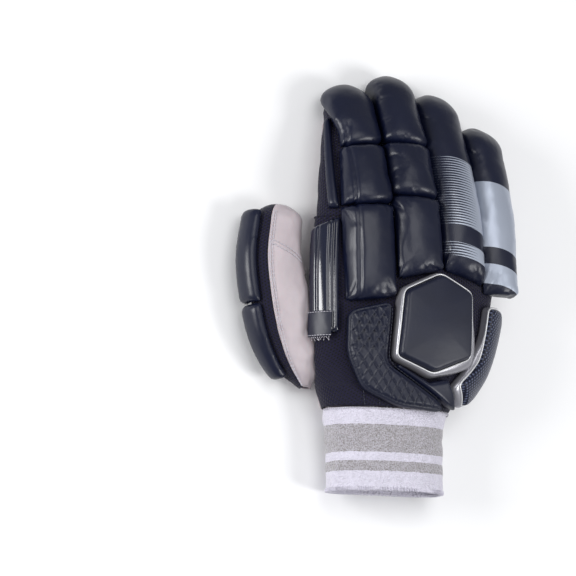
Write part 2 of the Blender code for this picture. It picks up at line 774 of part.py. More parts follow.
def frame(outline, middle, height, spread, corner=4.0, step=15.0):
    """A moulding round an outline. Spread gives its width at a direction from the middle."""
    border = rounded([back_spot(spot) for spot in outline], corner, step)
    centre = back_spot(middle)
    solid = Solid()
    loops = []
    for point in border:
        away = (point - centre).normalized()
        width = spread(away)
        near, far = point + away * TOUCH, point + away * width
        near, across, far, under = as_angles((
            near, point + away * 0.7 * width, far, point + away * 0.5 * width))
        loops.append((
            on_back(near, TOUCH), on_back(near, TOUCH + height),
            on_back(across, TOUCH + 0.85 * height),
            on_back(far, TOUCH + 0.25 * height), on_back(far, TOUCH), on_back(under, TOUCH),
        ))
    count = len(loops)
    for k in range(count):
        here, there = loops[k], loops[(k + 1) % count]
        for m in range(len(here)):
            n = (m + 1) % len(here)
            solid.face(here[m], here[n], there[n], there[m])
    return solid


def surround_width(away):
    """Narrow all round, and wide towards the little finger and the wrist."""
    towards = Vector((0.75, -0.66, 0.0))
    return 2.6 + 6.0 * max(0.0, away.dot(towards)) ** 3


def wrist_cuff():
    rows = steps(CUFF_END_Y, WRIST_Y - TOUCH, 3)
    columns = steps(0.0, 360.0, 32)[:-1]
    inner, outer = layers(BODY, rows, columns, lambda s, a: -CUFF_WALL, lambda s, a: 0.0)
    return walled(inner, outer, wrap=True)


STRAP_FROM = 250.0
STRAP_TO = 352.0
TAB_POINT = 0.30


def wrist_strap():
    """From the little finger's side under the wristband, with a cut-off point at its free end."""
    columns = [250.0, 254.0, 260.0] + steps(266.0, STRAP_TO, 11)
    half = 0.5 * STRAP_WIDTH
    inner, outer = [], []
    for share in (-1.0, 0.0, 1.0):
        inner_row, outer_row = [], []
        for angle in columns:
            narrow = max(0.0, 1.0 - (angle - STRAP_FROM) / 16.0) * TAB_POINT
            s = share * half * (1.0 - narrow)
            seat = TOUCH + 0.5 * max(0.0, (angle - 300.0) / (STRAP_TO - 300.0))
            inner_row.append(BODY.point(s, angle, seat))
            outer_row.append(BODY.point(s, angle, seat + STRAP_THICKNESS))
        inner.append(inner_row)
        outer.append(outer_row)
    return walled(inner, outer)


def strap_badge():
    """The bare moulded patch, which the glove rests on."""
    top = FLAT_BOTTOM - 2.0 * TOUCH - STRAP_THICKNESS
    half = 0.5 * STRAP_WIDTH - 3.0
    outline = (
        Vector((-10.5, -0.85 * half, 0.0)), Vector((12.0, -half, 0.0)),
        Vector((17.0, -0.2 * half, 0.0)), Vector((15.0, half, 0.0)),
        Vector((-8.0, half, 0.0)), Vector((-13.5, 0.0, 0.0)),
    )
    solid = Solid()
    high = [point + Vector((0.0, 0.0, top)) for point in outline]
    solid.face(*outline)
    solid.face(*high)
    for k in range(len(outline)):
        n = (k + 1) % len(outline)
        solid.face(outline[k], outline[n], high[n], high[k])
    return solid


def strap_end():
    under = TOUCH + STRAP_THICKNESS + TOUCH
    rows = steps(-0.5 * STRAP_WIDTH - 7.0, -0.5 * STRAP_WIDTH + 4.0, 2)
    columns = steps(308.0, 316.0, 2)
    inner, outer = layers(
        BODY, rows, columns, lambda s, a: under, lambda s, a: under + HOOK_THICKNESS)
    return walled(inner, outer)


def side_tag():
    """A small label folded over the lower end of the glossy shell."""
    seat = TOUCH + BAR_HEIGHT + TOUCH
    rows = steps(WRIST_Y + 0.355 * PALM_LENGTH, WRIST_Y + 0.49 * PALM_LENGTH, 2)
    columns = steps(148.0, 174.0, 3)
    inner, outer = layers(
        BODY, rows, columns, lambda s, a: seat, lambda s, a: seat + TAG_THICKNESS)
    return walled(inner, outer)


def build():
    for old in list(bpy.data.objects):
        bpy.data.objects.remove(old, do_unlink=True)
    glove = bpy.data.collections.new("batting_glove")
    bpy.context.scene.collection.children.link(glove)

    white = material("white_leather", (0.72, 0.66, 0.72), 0.55)
    navy = material("navy_padding", (0.012, 0.017, 0.035), 0.35)
    mesh = material("navy_mesh", (0.015, 0.012, 0.05), 0.85)
    gloss = material("navy_gloss", (0.02, 0.025, 0.045), 0.15)
    silver = material("silver_moulding", (0.45, 0.45, 0.48), 0.3, 0.7)
    towel = material("white_towelling", (0.75, 0.73, 0.82), 0.95)
    rubber = material("white_moulding", (0.82, 0.82, 0.86), 0.45)
    black = material("black_hook_tape", (0.02, 0.02, 0.02), 0.8)

    pieces = [
        ("palm_leather", palm_leather(), white),
        ("hand_back", hand_back(), mesh),
        ("thumb_leather", thumb_leather(), white),
        ("thumb_mesh", thumb_mesh(), mesh),
        ("wrist_cuff", wrist_cuff(), towel),
        ("wrist_strap", wrist_strap(), rubber),
        ("strap_badge", strap_badge(), rubber),
        ("strap_end", strap_end(), black),
    ]
    for digit, skin in zip(DIGITS, FINGERS):
        pieces.append((digit.name + "_sleeve", sleeve(skin), mesh))
    for segment in SEGMENTS:
        pieces.append((segment.name, finger_pad(segment), navy))

    length = THUMB_LENGTH
    pieces += [
        ("thumb_guard_upper", cushion(THUMB, THUMB_HEEL_Y + 0.44 * length,
                                      THUMB.straight + 0.4 * THUMB_END, 146.0, 206.0,
                                      THUMB_GUARD, seat=2.0 * TOUCH, edge=2.0, along=5,
                                      power=2.2), navy),
        ("thumb_guard_lower", cushion(THUMB, THUMB_HEEL_Y + 0.07 * length,
                                      THUMB_HEEL_Y + 0.44 * length - SEAM_GAP, 146.0, 206.0,
                                      THUMB_GUARD, seat=2.0 * TOUCH, edge=2.0, along=4,
                                      power=2.2), navy),
        ("index_side_pad", cushion(FINGERS[0], FORK_Y + 0.05 * INDEX_LENGTH,
                                   FINGERS[0].straight, 128.5, 146.0, FLANK_HEIGHT), navy),
        ("index_side_bar", cushion(BODY, WRIST_Y + 0.38 * PALM_LENGTH, FORK_Y - 2.0,
                                   147.0, 176.0, BAR_HEIGHT, edge=1.6), gloss),
        ("side_tag", side_tag(), navy),
        ("quilted_pad", slab(QUILT, QUILT_HEIGHT, 3.0, rim=1.6, corner=7.0, step=18.0,
                             seat=2.0 * TOUCH), navy),
        ("lower_strip", slab(STRIP, STRIP_HEIGHT, 3.0, rim=0.8, corner=2.0, step=20.0,
                             seat=2.0 * TOUCH), navy),
        ("hex_pad", slab(BADGE, BADGE_HEIGHT, 9.0, step=18.0, seat=1.5 * TOUCH), navy),
        ("hex_surround", frame(BADGE, BADGE_MIDDLE, SURROUND_HEIGHT, surround_width), silver),
        ("little_side_pad", slab(SIDE_PAD, SIDE_PAD_HEIGHT, 4.0, seat=2.2 * TOUCH), navy),
    ]
    for name, solid, finish in pieces:
        solid.finish(name, finish, glove)


build()
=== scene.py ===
"""A cricket batting glove lying palm down: its padding, cloth, leather and moulded trim."""
import math
from collections import namedtuple

import bmesh
import bpy
from bpy.props import FloatProperty, FloatVectorProperty, IntProperty, PointerProperty
from mathutils import Matrix, Vector, noise


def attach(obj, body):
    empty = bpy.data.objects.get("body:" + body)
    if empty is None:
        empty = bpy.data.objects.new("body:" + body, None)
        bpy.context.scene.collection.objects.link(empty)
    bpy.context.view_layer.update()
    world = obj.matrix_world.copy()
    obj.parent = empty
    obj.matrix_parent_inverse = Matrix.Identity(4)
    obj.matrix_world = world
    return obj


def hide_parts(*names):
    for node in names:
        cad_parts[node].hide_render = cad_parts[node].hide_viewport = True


bl_info = {
    "name": "Batting glove",
    "version": (1, 0, 0),
    "blender": (4, 5, 0),
    "location": "3D View > Sidebar > Glove",
    "description": "Dresses the packed batting glove with padding, cloth and trim",
    "category": "Add Mesh",
}

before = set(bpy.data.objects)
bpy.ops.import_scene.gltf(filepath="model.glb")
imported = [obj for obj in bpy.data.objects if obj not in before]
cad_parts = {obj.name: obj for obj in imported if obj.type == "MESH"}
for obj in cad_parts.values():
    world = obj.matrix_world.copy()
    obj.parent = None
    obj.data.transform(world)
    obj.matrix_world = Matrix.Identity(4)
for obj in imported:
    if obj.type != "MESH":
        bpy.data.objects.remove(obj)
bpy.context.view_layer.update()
MM = 0.001

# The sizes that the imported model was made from, in millimetres
CUFF_LENGTH = 57.5
CUFF_WIDTH = 90.0
PALM_LENGTH = 133.0
KNUCKLE_WIDTH = 145.0
HAND_DEPTH = 42.0
FINGER_WIDTH = 29.0
FINGER_DEPTH = 23.0
FINGER_END = 13.0
ROLL_HEIGHT = 13.0
ROLL_EDGE = 1.6
THUMB_LENGTH = 131.0
THUMB_WIDTH = 42.0
THUMB_DEPTH = 30.0
THUMB_END = 14.0
FLAT_BOTTOM = 4.7
WRIST_Y = 30.0
FORK_Y = WRIST_Y + PALM_LENGTH
CUFF_END_Y = WRIST_Y - CUFF_LENGTH
WIDEST_LEVEL = 0.42

Section = namedtuple("Section", "y x left right z up down")
HandRow = namedtuple("HandRow", "along middle half low high")
HAND_ROWS = (
    HandRow(0.00, 0.003, 0.328, -0.05, 0.98),
    HandRow(0.12, 0.022, 0.385, -0.03, 0.99),
    HandRow(0.25, 0.045, 0.438, 0.03, 1.00),
    HandRow(0.45, 0.069, 0.469, 0.10, 1.03),
    HandRow(0.75, 0.090, 0.494, 0.19, 1.00),
    HandRow(1.00, 0.105, 0.497, 0.28, 0.93),
)
CuffRow = namedtuple("CuffRow", "along half high")
CUFF_ROWS = (
    CuffRow(0.00, 0.490, 0.94),
    CuffRow(0.35, 0.485, 0.92),
    CuffRow(0.70, 0.495, 0.93),
    CuffRow(0.95, 0.520, 0.97),
)
CUFF_SAG = 2.0
Digit = namedtuple("Digit", "name length root end level tilt left top under pad_from pad_to")
DIGITS = (
    Digit("index", 90.0, -0.163, -0.186, 0.50, 0, 1.06, 0.78, 0.42, -6, 126),
    Digit("middle", 100.0, 0.097, 0.055, 0.66, 2, 0.50, 0.50, 0.50, -8, 188),
    Digit("ring", 89.0, 0.338, 0.286, 0.61, -8, 0.50, 0.50, 0.50, -8, 188),
    Digit("little", 67.0, 0.556, 0.517, 0.44, -22, 0.50, 0.50, 0.50, 6, 190),
)
Line = namedtuple("Line", "near far")
ROLL_LINES = (
    Line(-0.300, -0.318), Line(-0.034, -0.050), Line(0.226, 0.170),
    Line(0.460, 0.408), Line(0.670, 0.645),
)
LINE_NEAR_Y = FORK_Y - 0.3 * PALM_LENGTH
LINE_FAR_Y = FORK_Y + 90.0
Segment = namedtuple("Segment", "name digit start start_slant stop stop_slant")
SEGMENTS = (
    Segment("index_base_pad", 0, -0.433, 0.30, 0.09, 0.20),
    Segment("index_mid_pad", 0, 0.09, 0.20, 0.57, 0.22),
    Segment("index_tip_pad", 0, 0.57, 0.22, None, 0.0),
    Segment("middle_base_pad", 1, -0.293, 0.48, 0.15, -0.12),
    Segment("middle_mid_pad", 1, 0.15, -0.12, 0.54, -0.16),
    Segment("middle_tip_pad", 1, 0.54, -0.16, None, 0.0),
    Segment("ring_roll", 2, -0.301, -0.55, None, 0.0),
    Segment("little_roll", 3, -0.398, -0.41, None, 0.0),
)
Swell = namedtuple("Swell", "along height")
SWELL = (Swell(-0.8, 0.95), Swell(0.0, 1.05), Swell(0.55, 0.95), Swell(1.0, 0.75))
ThumbRow = namedtuple("ThumbRow", "along middle left right level up down")
THUMB_ROWS = (
    ThumbRow(0.00, 0.02, 0.08, 0.16, 0.44, 0.12, 0.12),
    ThumbRow(0.10, 0.19, 0.31, 0.46, 0.46, 0.36, 0.34),
    ThumbRow(0.26, 0.36, 0.45, 0.58, 0.49, 0.48, 0.43),
    ThumbRow(0.46, 0.50, 0.48, 0.62, 0.52, 0.52, 0.46),
    ThumbRow(0.68, 0.58, 0.48, 0.47, 0.54, 0.52, 0.47),
    ThumbRow(0.88, 0.52, 0.44, 0.42, 0.50, 0.47, 0.44),
)
THUMB_HEEL_Y = WRIST_Y + 0.10 * PALM_LENGTH
THUMB_HEEL_X = -0.40 * KNUCKLE_WIDTH
# Outlines on the back of the hand, in millimetres
BADGE = ((26.5, 123.1), (50.0, 111.8), (48.6, 67.9), (19.6, 54.6), (-6.7, 64.8), (-1.2, 109.8))
QUILT = ((-39.9, 95.2), (-9.0, 103.1), (-13.1, 59.9), (29.7, 34.4), (29.0, 28.7),
         (-4.4, 30.0), (-29.0, 40.6), (-39.9, 65.9))
STRIP = ((-4.6, 59.5), (19.0, 48.0), (34.1, 51.9), (39.9, 41.3), (41.3, 32.0),
         (33.6, 33.7), (-4.9, 56.3))
# The pad at the little finger's side: angles round the hand, and millimetres along it
SIDE_PAD = ((38.0, 104.5), (20.0, 105.8), (1.0, 89.9), (3.0, 51.3), (28.0, 36.7),
            (50.0, 50.0), (37.0, 68.6))
FLANK_SCALE = 0.85


# Blending and skins


def mix(a, b, share):
    return a + (b - a) * share


def steps(start, stop, count):
    return [mix(start, stop, i / count) for i in range(count + 1)]


def between(rows, key, value):
    """Blend the rows of a table smoothly at a value of one column."""
    keys = [getattr(row, key) for row in rows]
    last = len(rows) - 1
    k = 0
    while k < last - 1 and keys[k + 1] <= value:
        k += 1
    wide = keys[k + 1] - keys[k]
    share = min(max((value - keys[k]) / wide, 0.0), 1.0)
    before, near, far, after = rows[max(k - 1, 0)], rows[k], rows[k + 1], rows[min(k + 2, last)]
    fields = []
    for a, b, c, d in zip(before, near, far, after):
        slope_b = (c - a) * wide / max(keys[k + 1] - keys[max(k - 1, 0)], 1e-6)
        slope_c = (d - b) * wide / max(keys[min(k + 2, last)] - keys[k], 1e-6)
        fields.append(
            b + share * slope_b
            + share ** 2 * (3.0 * (c - b) - 2.0 * slope_b - slope_c)
            + share ** 3 * (2.0 * (b - c) + slope_b + slope_c)
        )
    return type(near)(*fields)


class Skin:
    """A tube along Y whose sections are squashed ovals, with a rounded end if it has one."""

    def __init__(self, sections, end=0.0, tilt=0.0, upper=2.3, lower=2.8, floor=None):
        self.sections, self.end, self.floor = sections, end, floor
        self.tilt = math.radians(tilt)
        self.upper, self.lower = upper, lower
        self.straight = sections[-1].y
        self.last = self.straight + end * math.pi / 2.0

    def section(self, s):
        if s <= self.straight or not self.end:
            return between(self.sections, "y", s), 1.0
        turn = min((s - self.straight) / self.end, math.pi / 2.0)
        row = self.sections[-1]
        before = between(self.sections, "y", row.y - 1.0)
        along = self.end * math.sin(turn)
        row = row._replace(
            y=row.y + along, z=row.z + (row.z - before.z) * along,
            x=row.x + (row.x - before.x) * along)
        return row, math.cos(turn)

    def base(self, s, angle):
        row, scale = self.section(s)
        c, d = math.cos(math.radians(angle)), math.sin(math.radians(angle))
        power = self.upper if d >= 0 else self.lower
        across = math.copysign(abs(c) ** (2.0 / power), c) * (row.right if c >= 0 else row.left)
        height = math.copysign(abs(d) ** (2.0 / power), d) * (row.up if d >= 0 else row.down)
        turned_x = (across * math.cos(self.tilt) - height * math.sin(self.tilt)) * scale
        turned_z = (across * math.sin(self.tilt) + height * math.cos(self.tilt)) * scale
        z = row.z + turned_z
        if self.floor is not None:
            z = max(z, self.floor)
        return Vector((row.x + turned_x, row.y, z))

    def normal(self, s, angle):
        row, _ = self.section(s)
        if self.floor is not None and self.base(s, angle).z <= self.floor:
            return Vector((0.0, 0.0, -1.0))
        c, d = math.cos(math.radians(angle)), math.sin(math.radians(angle))
        slope = 2.0 - 2.0 / (self.upper if d >= 0 else self.lower)
        nx = math.copysign(abs(c) ** slope, c) / (row.right if c >= 0 else row.left)
        nz = math.copysign(abs(d) ** slope, d) / (row.up if d >= 0 else row.down)
        flat_x = nx * math.cos(self.tilt) - nz * math.sin(self.tilt)
        flat_z = nx * math.sin(self.tilt) + nz * math.cos(self.tilt)
        ahead = min(s + 0.5, self.last) if self.end else s + 0.5
        way = (self.base(ahead, angle) - self.base(ahead - 1.0, angle)).normalized()
        out = Vector((flat_x * way.y, -(flat_x * way.x + flat_z * way.z), flat_z * way.y))
        return out.normalized()

    def point(self, s, angle, out=0.0):
        return self.base(s, angle) + self.normal(s, angle) * out

    def angle_at(self, x, s, above=True):
        row, _ = self.section(s)
        side = row.right if x >= row.x else row.left
        power = self.upper if above else self.lower
        share = min(abs(x - row.x) / side, 0.999) ** (power / 2.0)
        angle = math.degrees(math.acos(math.copysign(share, x - row.x)))
        return angle if above else 360.0 - angle


def body_skin():
    rows = []
    for row in CUFF_ROWS:
        low, high = FLAT_BOTTOM - CUFF_SAG, FLAT_BOTTOM + row.high * HAND_DEPTH
        half, middle = row.half * CUFF_WIDTH, mix(low, high, WIDEST_LEVEL)
        y = CUFF_END_Y + row.along * CUFF_LENGTH
        rows.append(Section(y, 0.0, half, half, middle, high - middle, middle - low))
    for row in HAND_ROWS:
        low, high = FLAT_BOTTOM + row.low * HAND_DEPTH, FLAT_BOTTOM + row.high * HAND_DEPTH
        half, middle = row.half * KNUCKLE_WIDTH, mix(low, high, WIDEST_LEVEL)
        y, x = WRIST_Y + row.along * PALM_LENGTH, row.middle * KNUCKLE_WIDTH
        rows.append(Section(y, x, half, half, middle, high - middle, middle - low))
    return Skin(rows, floor=FLAT_BOTTOM)


def digit_skin(digit):
    half = 0.5 * FINGER_WIDTH
    root_x, end_x = digit.root * KNUCKLE_WIDTH, digit.end * KNUCKLE_WIDTH
    root_z = FLAT_BOTTOM + digit.level * HAND_DEPTH
    sideways = 0.8 * half * math.sin(math.radians(abs(digit.tilt)))
    end_z = 0.45 * FINGER_DEPTH + 3.1 + sideways
    straight = digit.length - FINGER_END
    rows = []
    for share in (-0.9, -0.4, 0.0, 0.25, 0.5, 0.75, 1.0):
        curl = max(share, 0.0) ** 1.5
        slim = 1.0 - 0.10 * max(share, 0.0)
        left = mix(digit.left * FINGER_WIDTH, half * 1.18 if digit.left > 0.6 else half, curl)
        rows.append(Section(
            FORK_Y + share * straight, mix(root_x, end_x, share),
            left * slim, half * slim, mix(root_z, end_z, curl),
            mix(digit.top, 0.5, curl) * FINGER_DEPTH * slim,
            mix(digit.under, 0.45, curl) * FINGER_DEPTH * slim,
        ))
    return Skin(rows, end=FINGER_END, tilt=digit.tilt, upper=2.3, lower=2.5)


def thumb_skin():
    rows = []
    for row in THUMB_ROWS:
        rows.append(Section(
            THUMB_HEEL_Y + row.along * THUMB_LENGTH, THUMB_HEEL_X - row.middle * THUMB_WIDTH,
            row.left * THUMB_WIDTH, row.right * THUMB_WIDTH,
            row.level * THUMB_DEPTH, row.up * THUMB_DEPTH, row.down * THUMB_DEPTH,
        ))
    return Skin(rows, end=THUMB_END, upper=2.2, lower=2.4)


BODY = body_skin()
FINGERS = [digit_skin(digit) for digit in DIGITS]
THUMB = thumb_skin()


def roll_line(k, y):
    line = ROLL_LINES[k]
    share = (y - LINE_NEAR_Y) / (LINE_FAR_Y - LINE_NEAR_Y)
    return mix(line.near, line.far, share) * KNUCKLE_WIDTH


# Finishes


def linear(hex_colour):
    """An sRGB hex colour as linear values."""
    values = [int(hex_colour[i:i + 2], 16) / 255.0 for i in (1, 3, 5)]
    return [v / 12.92 if v <= 0.04045 else ((v + 0.055) / 1.055) ** 2.4 for v in values]


def shade(colour, share=0.88):
    return [share * value for value in colour]


def add(tree, kind, settings):
    """Adds a node and gives its outputs. Each setting is a value, or an output to link to it."""
    made = tree.nodes.new(kind)
    for key, value in settings.items():
        if isinstance(value, bpy.types.NodeSocket):
            tree.links.new(value, made.inputs[key])
        elif isinstance(key, int) or key in made.inputs:
            made.inputs[key].default_value = value
        else:
            setattr(made, key, value)
    return made.outputs


def start_finish(name, roughness, metallic=0.0, ior=1.5, **more):
    """A material with its shader and the place of each point in metres."""
    made = bpy.data.materials.new(name)
    made.use_nodes = True
    tree = made.node_tree
    shader = tree.nodes["Principled BSDF"]
    for key, value in {"Roughness": roughness, "Metallic": metallic, "IOR": ior, **more}.items():
        shader.inputs[key].default_value = value
    return made, tree, shader, add(tree, "ShaderNodeTexCoord", {})


def spread_colour(tree, shader, place, low, high, size, detail=3.0):
    """Colour that drifts between two tones over patches of a size in millimetres."""
    drift = add(tree, "ShaderNodeTexNoise",
                {"Scale": 1.0 / (size * MM), "Detail": detail, "Vector": place["Object"]})[0]
    spread = add(tree, "ShaderNodeMix",
                 {"data_type": "RGBA", 6: (*low, 1.0), 7: (*high, 1.0), 0: drift})[2]
    tree.links.new(spread, shader.inputs["Base Color"])
    return spread


def rough_up(tree, shader, layers):
    """Chains bumps: each layer is a height output, its depth in millimetres and its strength."""
    before = None
    for height, depth, strength in layers:
        settings = {"Strength": strength, "Distance": depth * MM, "Height": height}
        if before is not None:
            settings["Normal"] = before
        before = add(tree, "ShaderNodeBump", settings)[0]
    tree.links.new(before, shader.inputs["Normal"])


def grain(tree, place, size, kind="ShaderNodeTexVoronoi", **more):
    """A texture whose cells or clouds have a real size, in millimetres."""
    return add(tree, kind, {"Scale": 1.0 / (size * MM), **more, "Vector": place["Object"]})[0]


# A thin clear top coat, and the low reflection of a coated cloth
SATIN = {"Coat Weight": 0.08, "Coat Roughness": 0.3, "Specular IOR Level": 0.4}
# The coated cloth's patches of tone, its grain and its soft unevenness, in millimetres. The
# grain's cells are about 0.5 mm; they are drawn at 0.8 mm so that they show
COAT_PATCH, COAT_GRAIN, COAT_WAVE = 35.0, 0.8, 9.0


def padding_finish(name, low, high, roughness=0.36):
    """Polyurethane-coated cloth over foam, embossed when it was pressed: a satin skin whose very
    fine grain breaks up the reflections."""
    made, tree, shader, place = start_finish(name, roughness, **SATIN)
    spread_colour(tree, shader, place, low, high, COAT_PATCH)
    rough_up(tree, shader, (
        (grain(tree, place, COAT_GRAIN), 0.05, 0.35),
        (grain(tree, place, COAT_WAVE, "ShaderNodeTexNoise"), 0.5, 0.35),
    ))
    return made


def dotted_finish(name, low, high, dot, spacing):
    """The same cloth, heat-embossed with rows of small raised dots; the dots are given a lighter
    colour, a painted highlight where they catch the light.
    """
    made, tree, shader, place = start_finish(name, 0.34, **SATIN)
    plain = spread_colour(tree, shader, place, low, high, COAT_PATCH)
    split = add(tree, "ShaderNodeSeparateXYZ", {0: place["UV"]})
    waves = []
    for k in (0, 1):
        turn = add(tree, "ShaderNodeMath",
                   {"operation": "MULTIPLY", 0: split[k], 1: 2.0 * math.pi / spacing})[0]
        waves.append(add(tree, "ShaderNodeMath", {"operation": "SINE", 0: turn})[0])
    both = add(tree, "ShaderNodeMath", {"operation": "MULTIPLY", 0: waves[0], 1: waves[1]})[0]
    dots = add(tree, "ShaderNodeMapRange", {1: 0.1, 2: 0.6, 0: both})[0]
    share = add(tree, "ShaderNodeMath", {"operation": "MULTIPLY", 0: dots, 1: 0.8})[0]
    # Painted highlight: the dots are mixed towards the lighter dot colour, which stands in for the
    # light that they catch
    dots_colour_with_painted_highlight = add(tree, "ShaderNodeMix", {"data_type": "RGBA", 7: (*dot, 1.0), 0: share, 6: plain})[2]
    tree.links.new(dots_colour_with_painted_highlight, shader.inputs["Base Color"])
    rough_up(tree, shader, (
        (grain(tree, place, COAT_GRAIN), 0.05, 0.3),
        (dots, 0.7, 1.0),
    ))
    return made


def inside_bands(tree, along, bands, shift=0.0):
    """Nought or one for each band of a length, from its top and bottom in millimetres."""
    for top, bottom in bands:
        below = add(tree, "ShaderNodeMath",
                    {"operation": "LESS_THAN", 0: along, 1: top * MM + shift})[0]
        above = add(tree, "ShaderNodeMath",
                    {"operation": "GREATER_THAN", 0: along, 1: bottom * MM + shift})[0]
        yield add(tree, "ShaderNodeMath", {"operation": "MULTIPLY", 0: below, 1: above})[0]


def either(tree, parts):
    """One output that is as high as the highest of several."""
    highest = parts[0]
    for part in parts[1:]:
        highest = add(tree, "ShaderNodeMath", {"operation": "MAXIMUM", 0: highest, 1: part})[0]
    return highest


def banded_finish(name, sizes, low, high, silver, across_mm, slope, bands, grow):
    """The same cloth, screen-printed with silver bands that read brighter and a little metallic.
    Each band is its left end's top and bottom. Grow is how far across the thin lines become plain
    silver, or nought for a plain band."""
    made, tree, shader, place = start_finish(name, 0.36, **SATIN)
    plain = spread_colour(tree, shader, place, low, high, COAT_PATCH)
    split = add(tree, "ShaderNodeSeparateXYZ", {0: place["Object"]})
    left, right = across_mm
    inward = add(tree, "ShaderNodeMath", {"operation": "SUBTRACT", 0: split[0], 1: left * MM})[0]
    across = add(tree, "ShaderNodeMath", {
        "operation": "DIVIDE", "use_clamp": True, 0: inward, 1: (right - left) * MM})[0]
    curve = add(tree, "ShaderNodeMath", {"operation": "POWER", 0: across, 1: 2.0})[0]
    bow = add(tree, "ShaderNodeMath", {"operation": "MULTIPLY", 0: curve, 1: slope * MM})[0]
    along = add(tree, "ShaderNodeMath", {"operation": "ADD", 0: split[1], 1: bow})[0]
    parts = list(inside_bands(tree, along, bands))
    if grow:
        lines = add(tree, "ShaderNodeMath",
                    {"operation": "DIVIDE", 0: along, 1: sizes.line_spacing})[0]
        line = add(tree, "ShaderNodeMath", {"operation": "FRACT", 0: lines})[0]
        spread = add(tree, "ShaderNodeMath", {"operation": "MULTIPLY", 0: across, 1: 1.0 / grow})[0]
        width = add(tree, "ShaderNodeMath", {"operation": "ADD", 0: spread, 1: 0.02})[0]
        inked = add(tree, "ShaderNodeMath", {"operation": "LESS_THAN", 0: line, 1: width})[0]
        parts = [add(tree, "ShaderNodeMath", {"operation": "MULTIPLY", 0: part, 1: inked})[0]
                 for part in parts]
    printed = either(tree, parts)
    paint = add(tree, "ShaderNodeMix",
                {"data_type": "RGBA", 7: (*silver, 1.0), 0: printed, 6: plain})[2]
    tree.links.new(paint, shader.inputs["Base Color"])
    metal = add(tree, "ShaderNodeMath", {"operation": "MULTIPLY", 0: printed, 1: 0.35})[0]
    tree.links.new(metal, shader.inputs["Metallic"])
    rough_up(tree, shader, (
        (grain(tree, place, COAT_GRAIN), 0.05, 0.35),
        (grain(tree, place, COAT_WAVE, "ShaderNodeTexNoise"), 0.5, 0.3),
        (printed, 0.03, 0.5),
    ))
    return made


def mesh_finish(name, low, high, spacing):
    """Polyester air mesh, warp-knitted: matt threads round a lattice of small holes, painted dark
    as the shade inside them.
    """
    made, tree, shader, place = start_finish(
        name, 0.8, ior=1.46,
        **{"Sheen Weight": 0.12, "Sheen Roughness": 0.5, "Specular IOR Level": 0.3})
    lattice = None
    for angle in (0.0, 60.0, 120.0):
        way = Vector((math.cos(math.radians(angle)), math.sin(math.radians(angle)), 0.0))
        way *= 2.0 * math.pi / (spacing * math.sin(math.radians(60.0)))
        dot = add(tree, "ShaderNodeVectorMath",
                  {"operation": "DOT_PRODUCT", 1: way, 0: place["UV"]})["Value"]
        wave = add(tree, "ShaderNodeMath", {"operation": "COSINE", 0: dot})[0]
        if lattice is not None:
            wave = add(tree, "ShaderNodeMath", {"operation": "ADD", 0: lattice, 1: wave})[0]
        lattice = wave
    # Painted shade: inside the lattice's holes the threads' colour is mixed to the dark colour of
    # the shade in them
    hole = add(tree, "ShaderNodeMapRange", {1: 0.1, 2: 1.6, 0: lattice})[0]
    knit = add(tree, "ShaderNodeMix",
               {"data_type": "RGBA", 6: (*high, 1.0), 7: (*low, 1.0), 0: hole})[2]
    tree.links.new(knit, shader.inputs["Base Color"])
    thread = add(tree, "ShaderNodeMath", {"operation": "SUBTRACT", 0: 1.0, 1: hole})[0]
    rough_up(tree, shader, (
        (thread, 0.5, 0.9),
        (grain(tree, place, 0.35, "ShaderNodeTexNoise"), 0.1, 0.5),
    ))
    return made


def leather_finish(name, low, high, roughness=0.5):
    """Sheepskin, tanned and whitened: soft and nearly matt, with fine pores and shallow creases."""
    made, tree, shader, place = start_finish(
        name, roughness, ior=1.48,
        **{"Subsurface Weight": 0.05, "Subsurface Scale": 0.002, "Sheen Weight": 0.1})
    spread_colour(tree, shader, place, low, high, 22.0, 5.0)
    rough_up(tree, shader, (
        (grain(tree, place, 0.7), 0.05, 0.5),
        (grain(tree, place, 5.0, "ShaderNodeTexNoise", Detail=4.0), 0.5, 0.35),
    ))
    return made


def towel_finish(name, sizes, white, melange, stripes):
    """Cotton terry, knitted: matt loops that scatter the light, with flecked stripes knitted in."""
    made, tree, shader, place = start_finish(
        name, 0.95, ior=1.46, **{"Sheen Weight": 0.5, "Sheen Roughness": 0.6})
    split = add(tree, "ShaderNodeSeparateXYZ", {0: place["Object"]})
    # The stripes' edges wander by about a loop
    wave = add(tree, "ShaderNodeMath", {
        "operation": "MULTIPLY", 0: grain(tree, place, 3.0, "ShaderNodeTexNoise"),
        1: 1.2 * MM})[0]
    along = add(tree, "ShaderNodeMath", {"operation": "ADD", 0: split[1], 1: wave})[0]
    striped = either(tree, list(inside_bands(tree, along, stripes, 0.6 * MM)))
    fleck = add(tree, "ShaderNodeMapRange", {
        1: 0.35, 2: 0.62, 0: grain(tree, place, 0.9, "ShaderNodeTexNoise", Detail=3.0)})[0]
    share = add(tree, "ShaderNodeMath", {"operation": "MULTIPLY", 0: fleck, 1: 0.55})[0]
    flecked = add(tree, "ShaderNodeMix",
                  {"data_type": "RGBA", 6: (*melange, 1.0), 7: (*white, 1.0), 0: share})[2]
    knit = add(tree, "ShaderNodeMix",
               {"data_type": "RGBA", 6: (*white, 1.0), 0: striped, 7: flecked})[2]
    tree.links.new(knit, shader.inputs["Base Color"])
    # Loops are about 0.7 mm across; they are drawn at twice that so that they show
    rough_up(tree, shader, (
        (grain(tree, place, sizes.loop_size / MM), 1.1, 1.0),
        (grain(tree, place, 2.2, "ShaderNodeTexNoise", Detail=4.0), 1.0, 0.6),
    ))
    return made


def moulded_finish(name, low, high, roughness, metallic=0.0, coat=0.0):
    """Thermoplastic, injection-moulded: smooth and even, with a faint flow mottle."""
    made, tree, shader, place = start_finish(
        name, roughness, metallic=metallic, **{"Coat Weight": coat, "Coat Roughness": 0.12})
    spread_colour(tree, shader, place, low, high, 18.0)
    rough_up(tree, shader, (
        (grain(tree, place, 1.1, "ShaderNodeTexNoise"), 0.04, 0.3),
        (grain(tree, place, 7.0, "ShaderNodeTexNoise"), 0.3, 0.25),
    ))
    return made


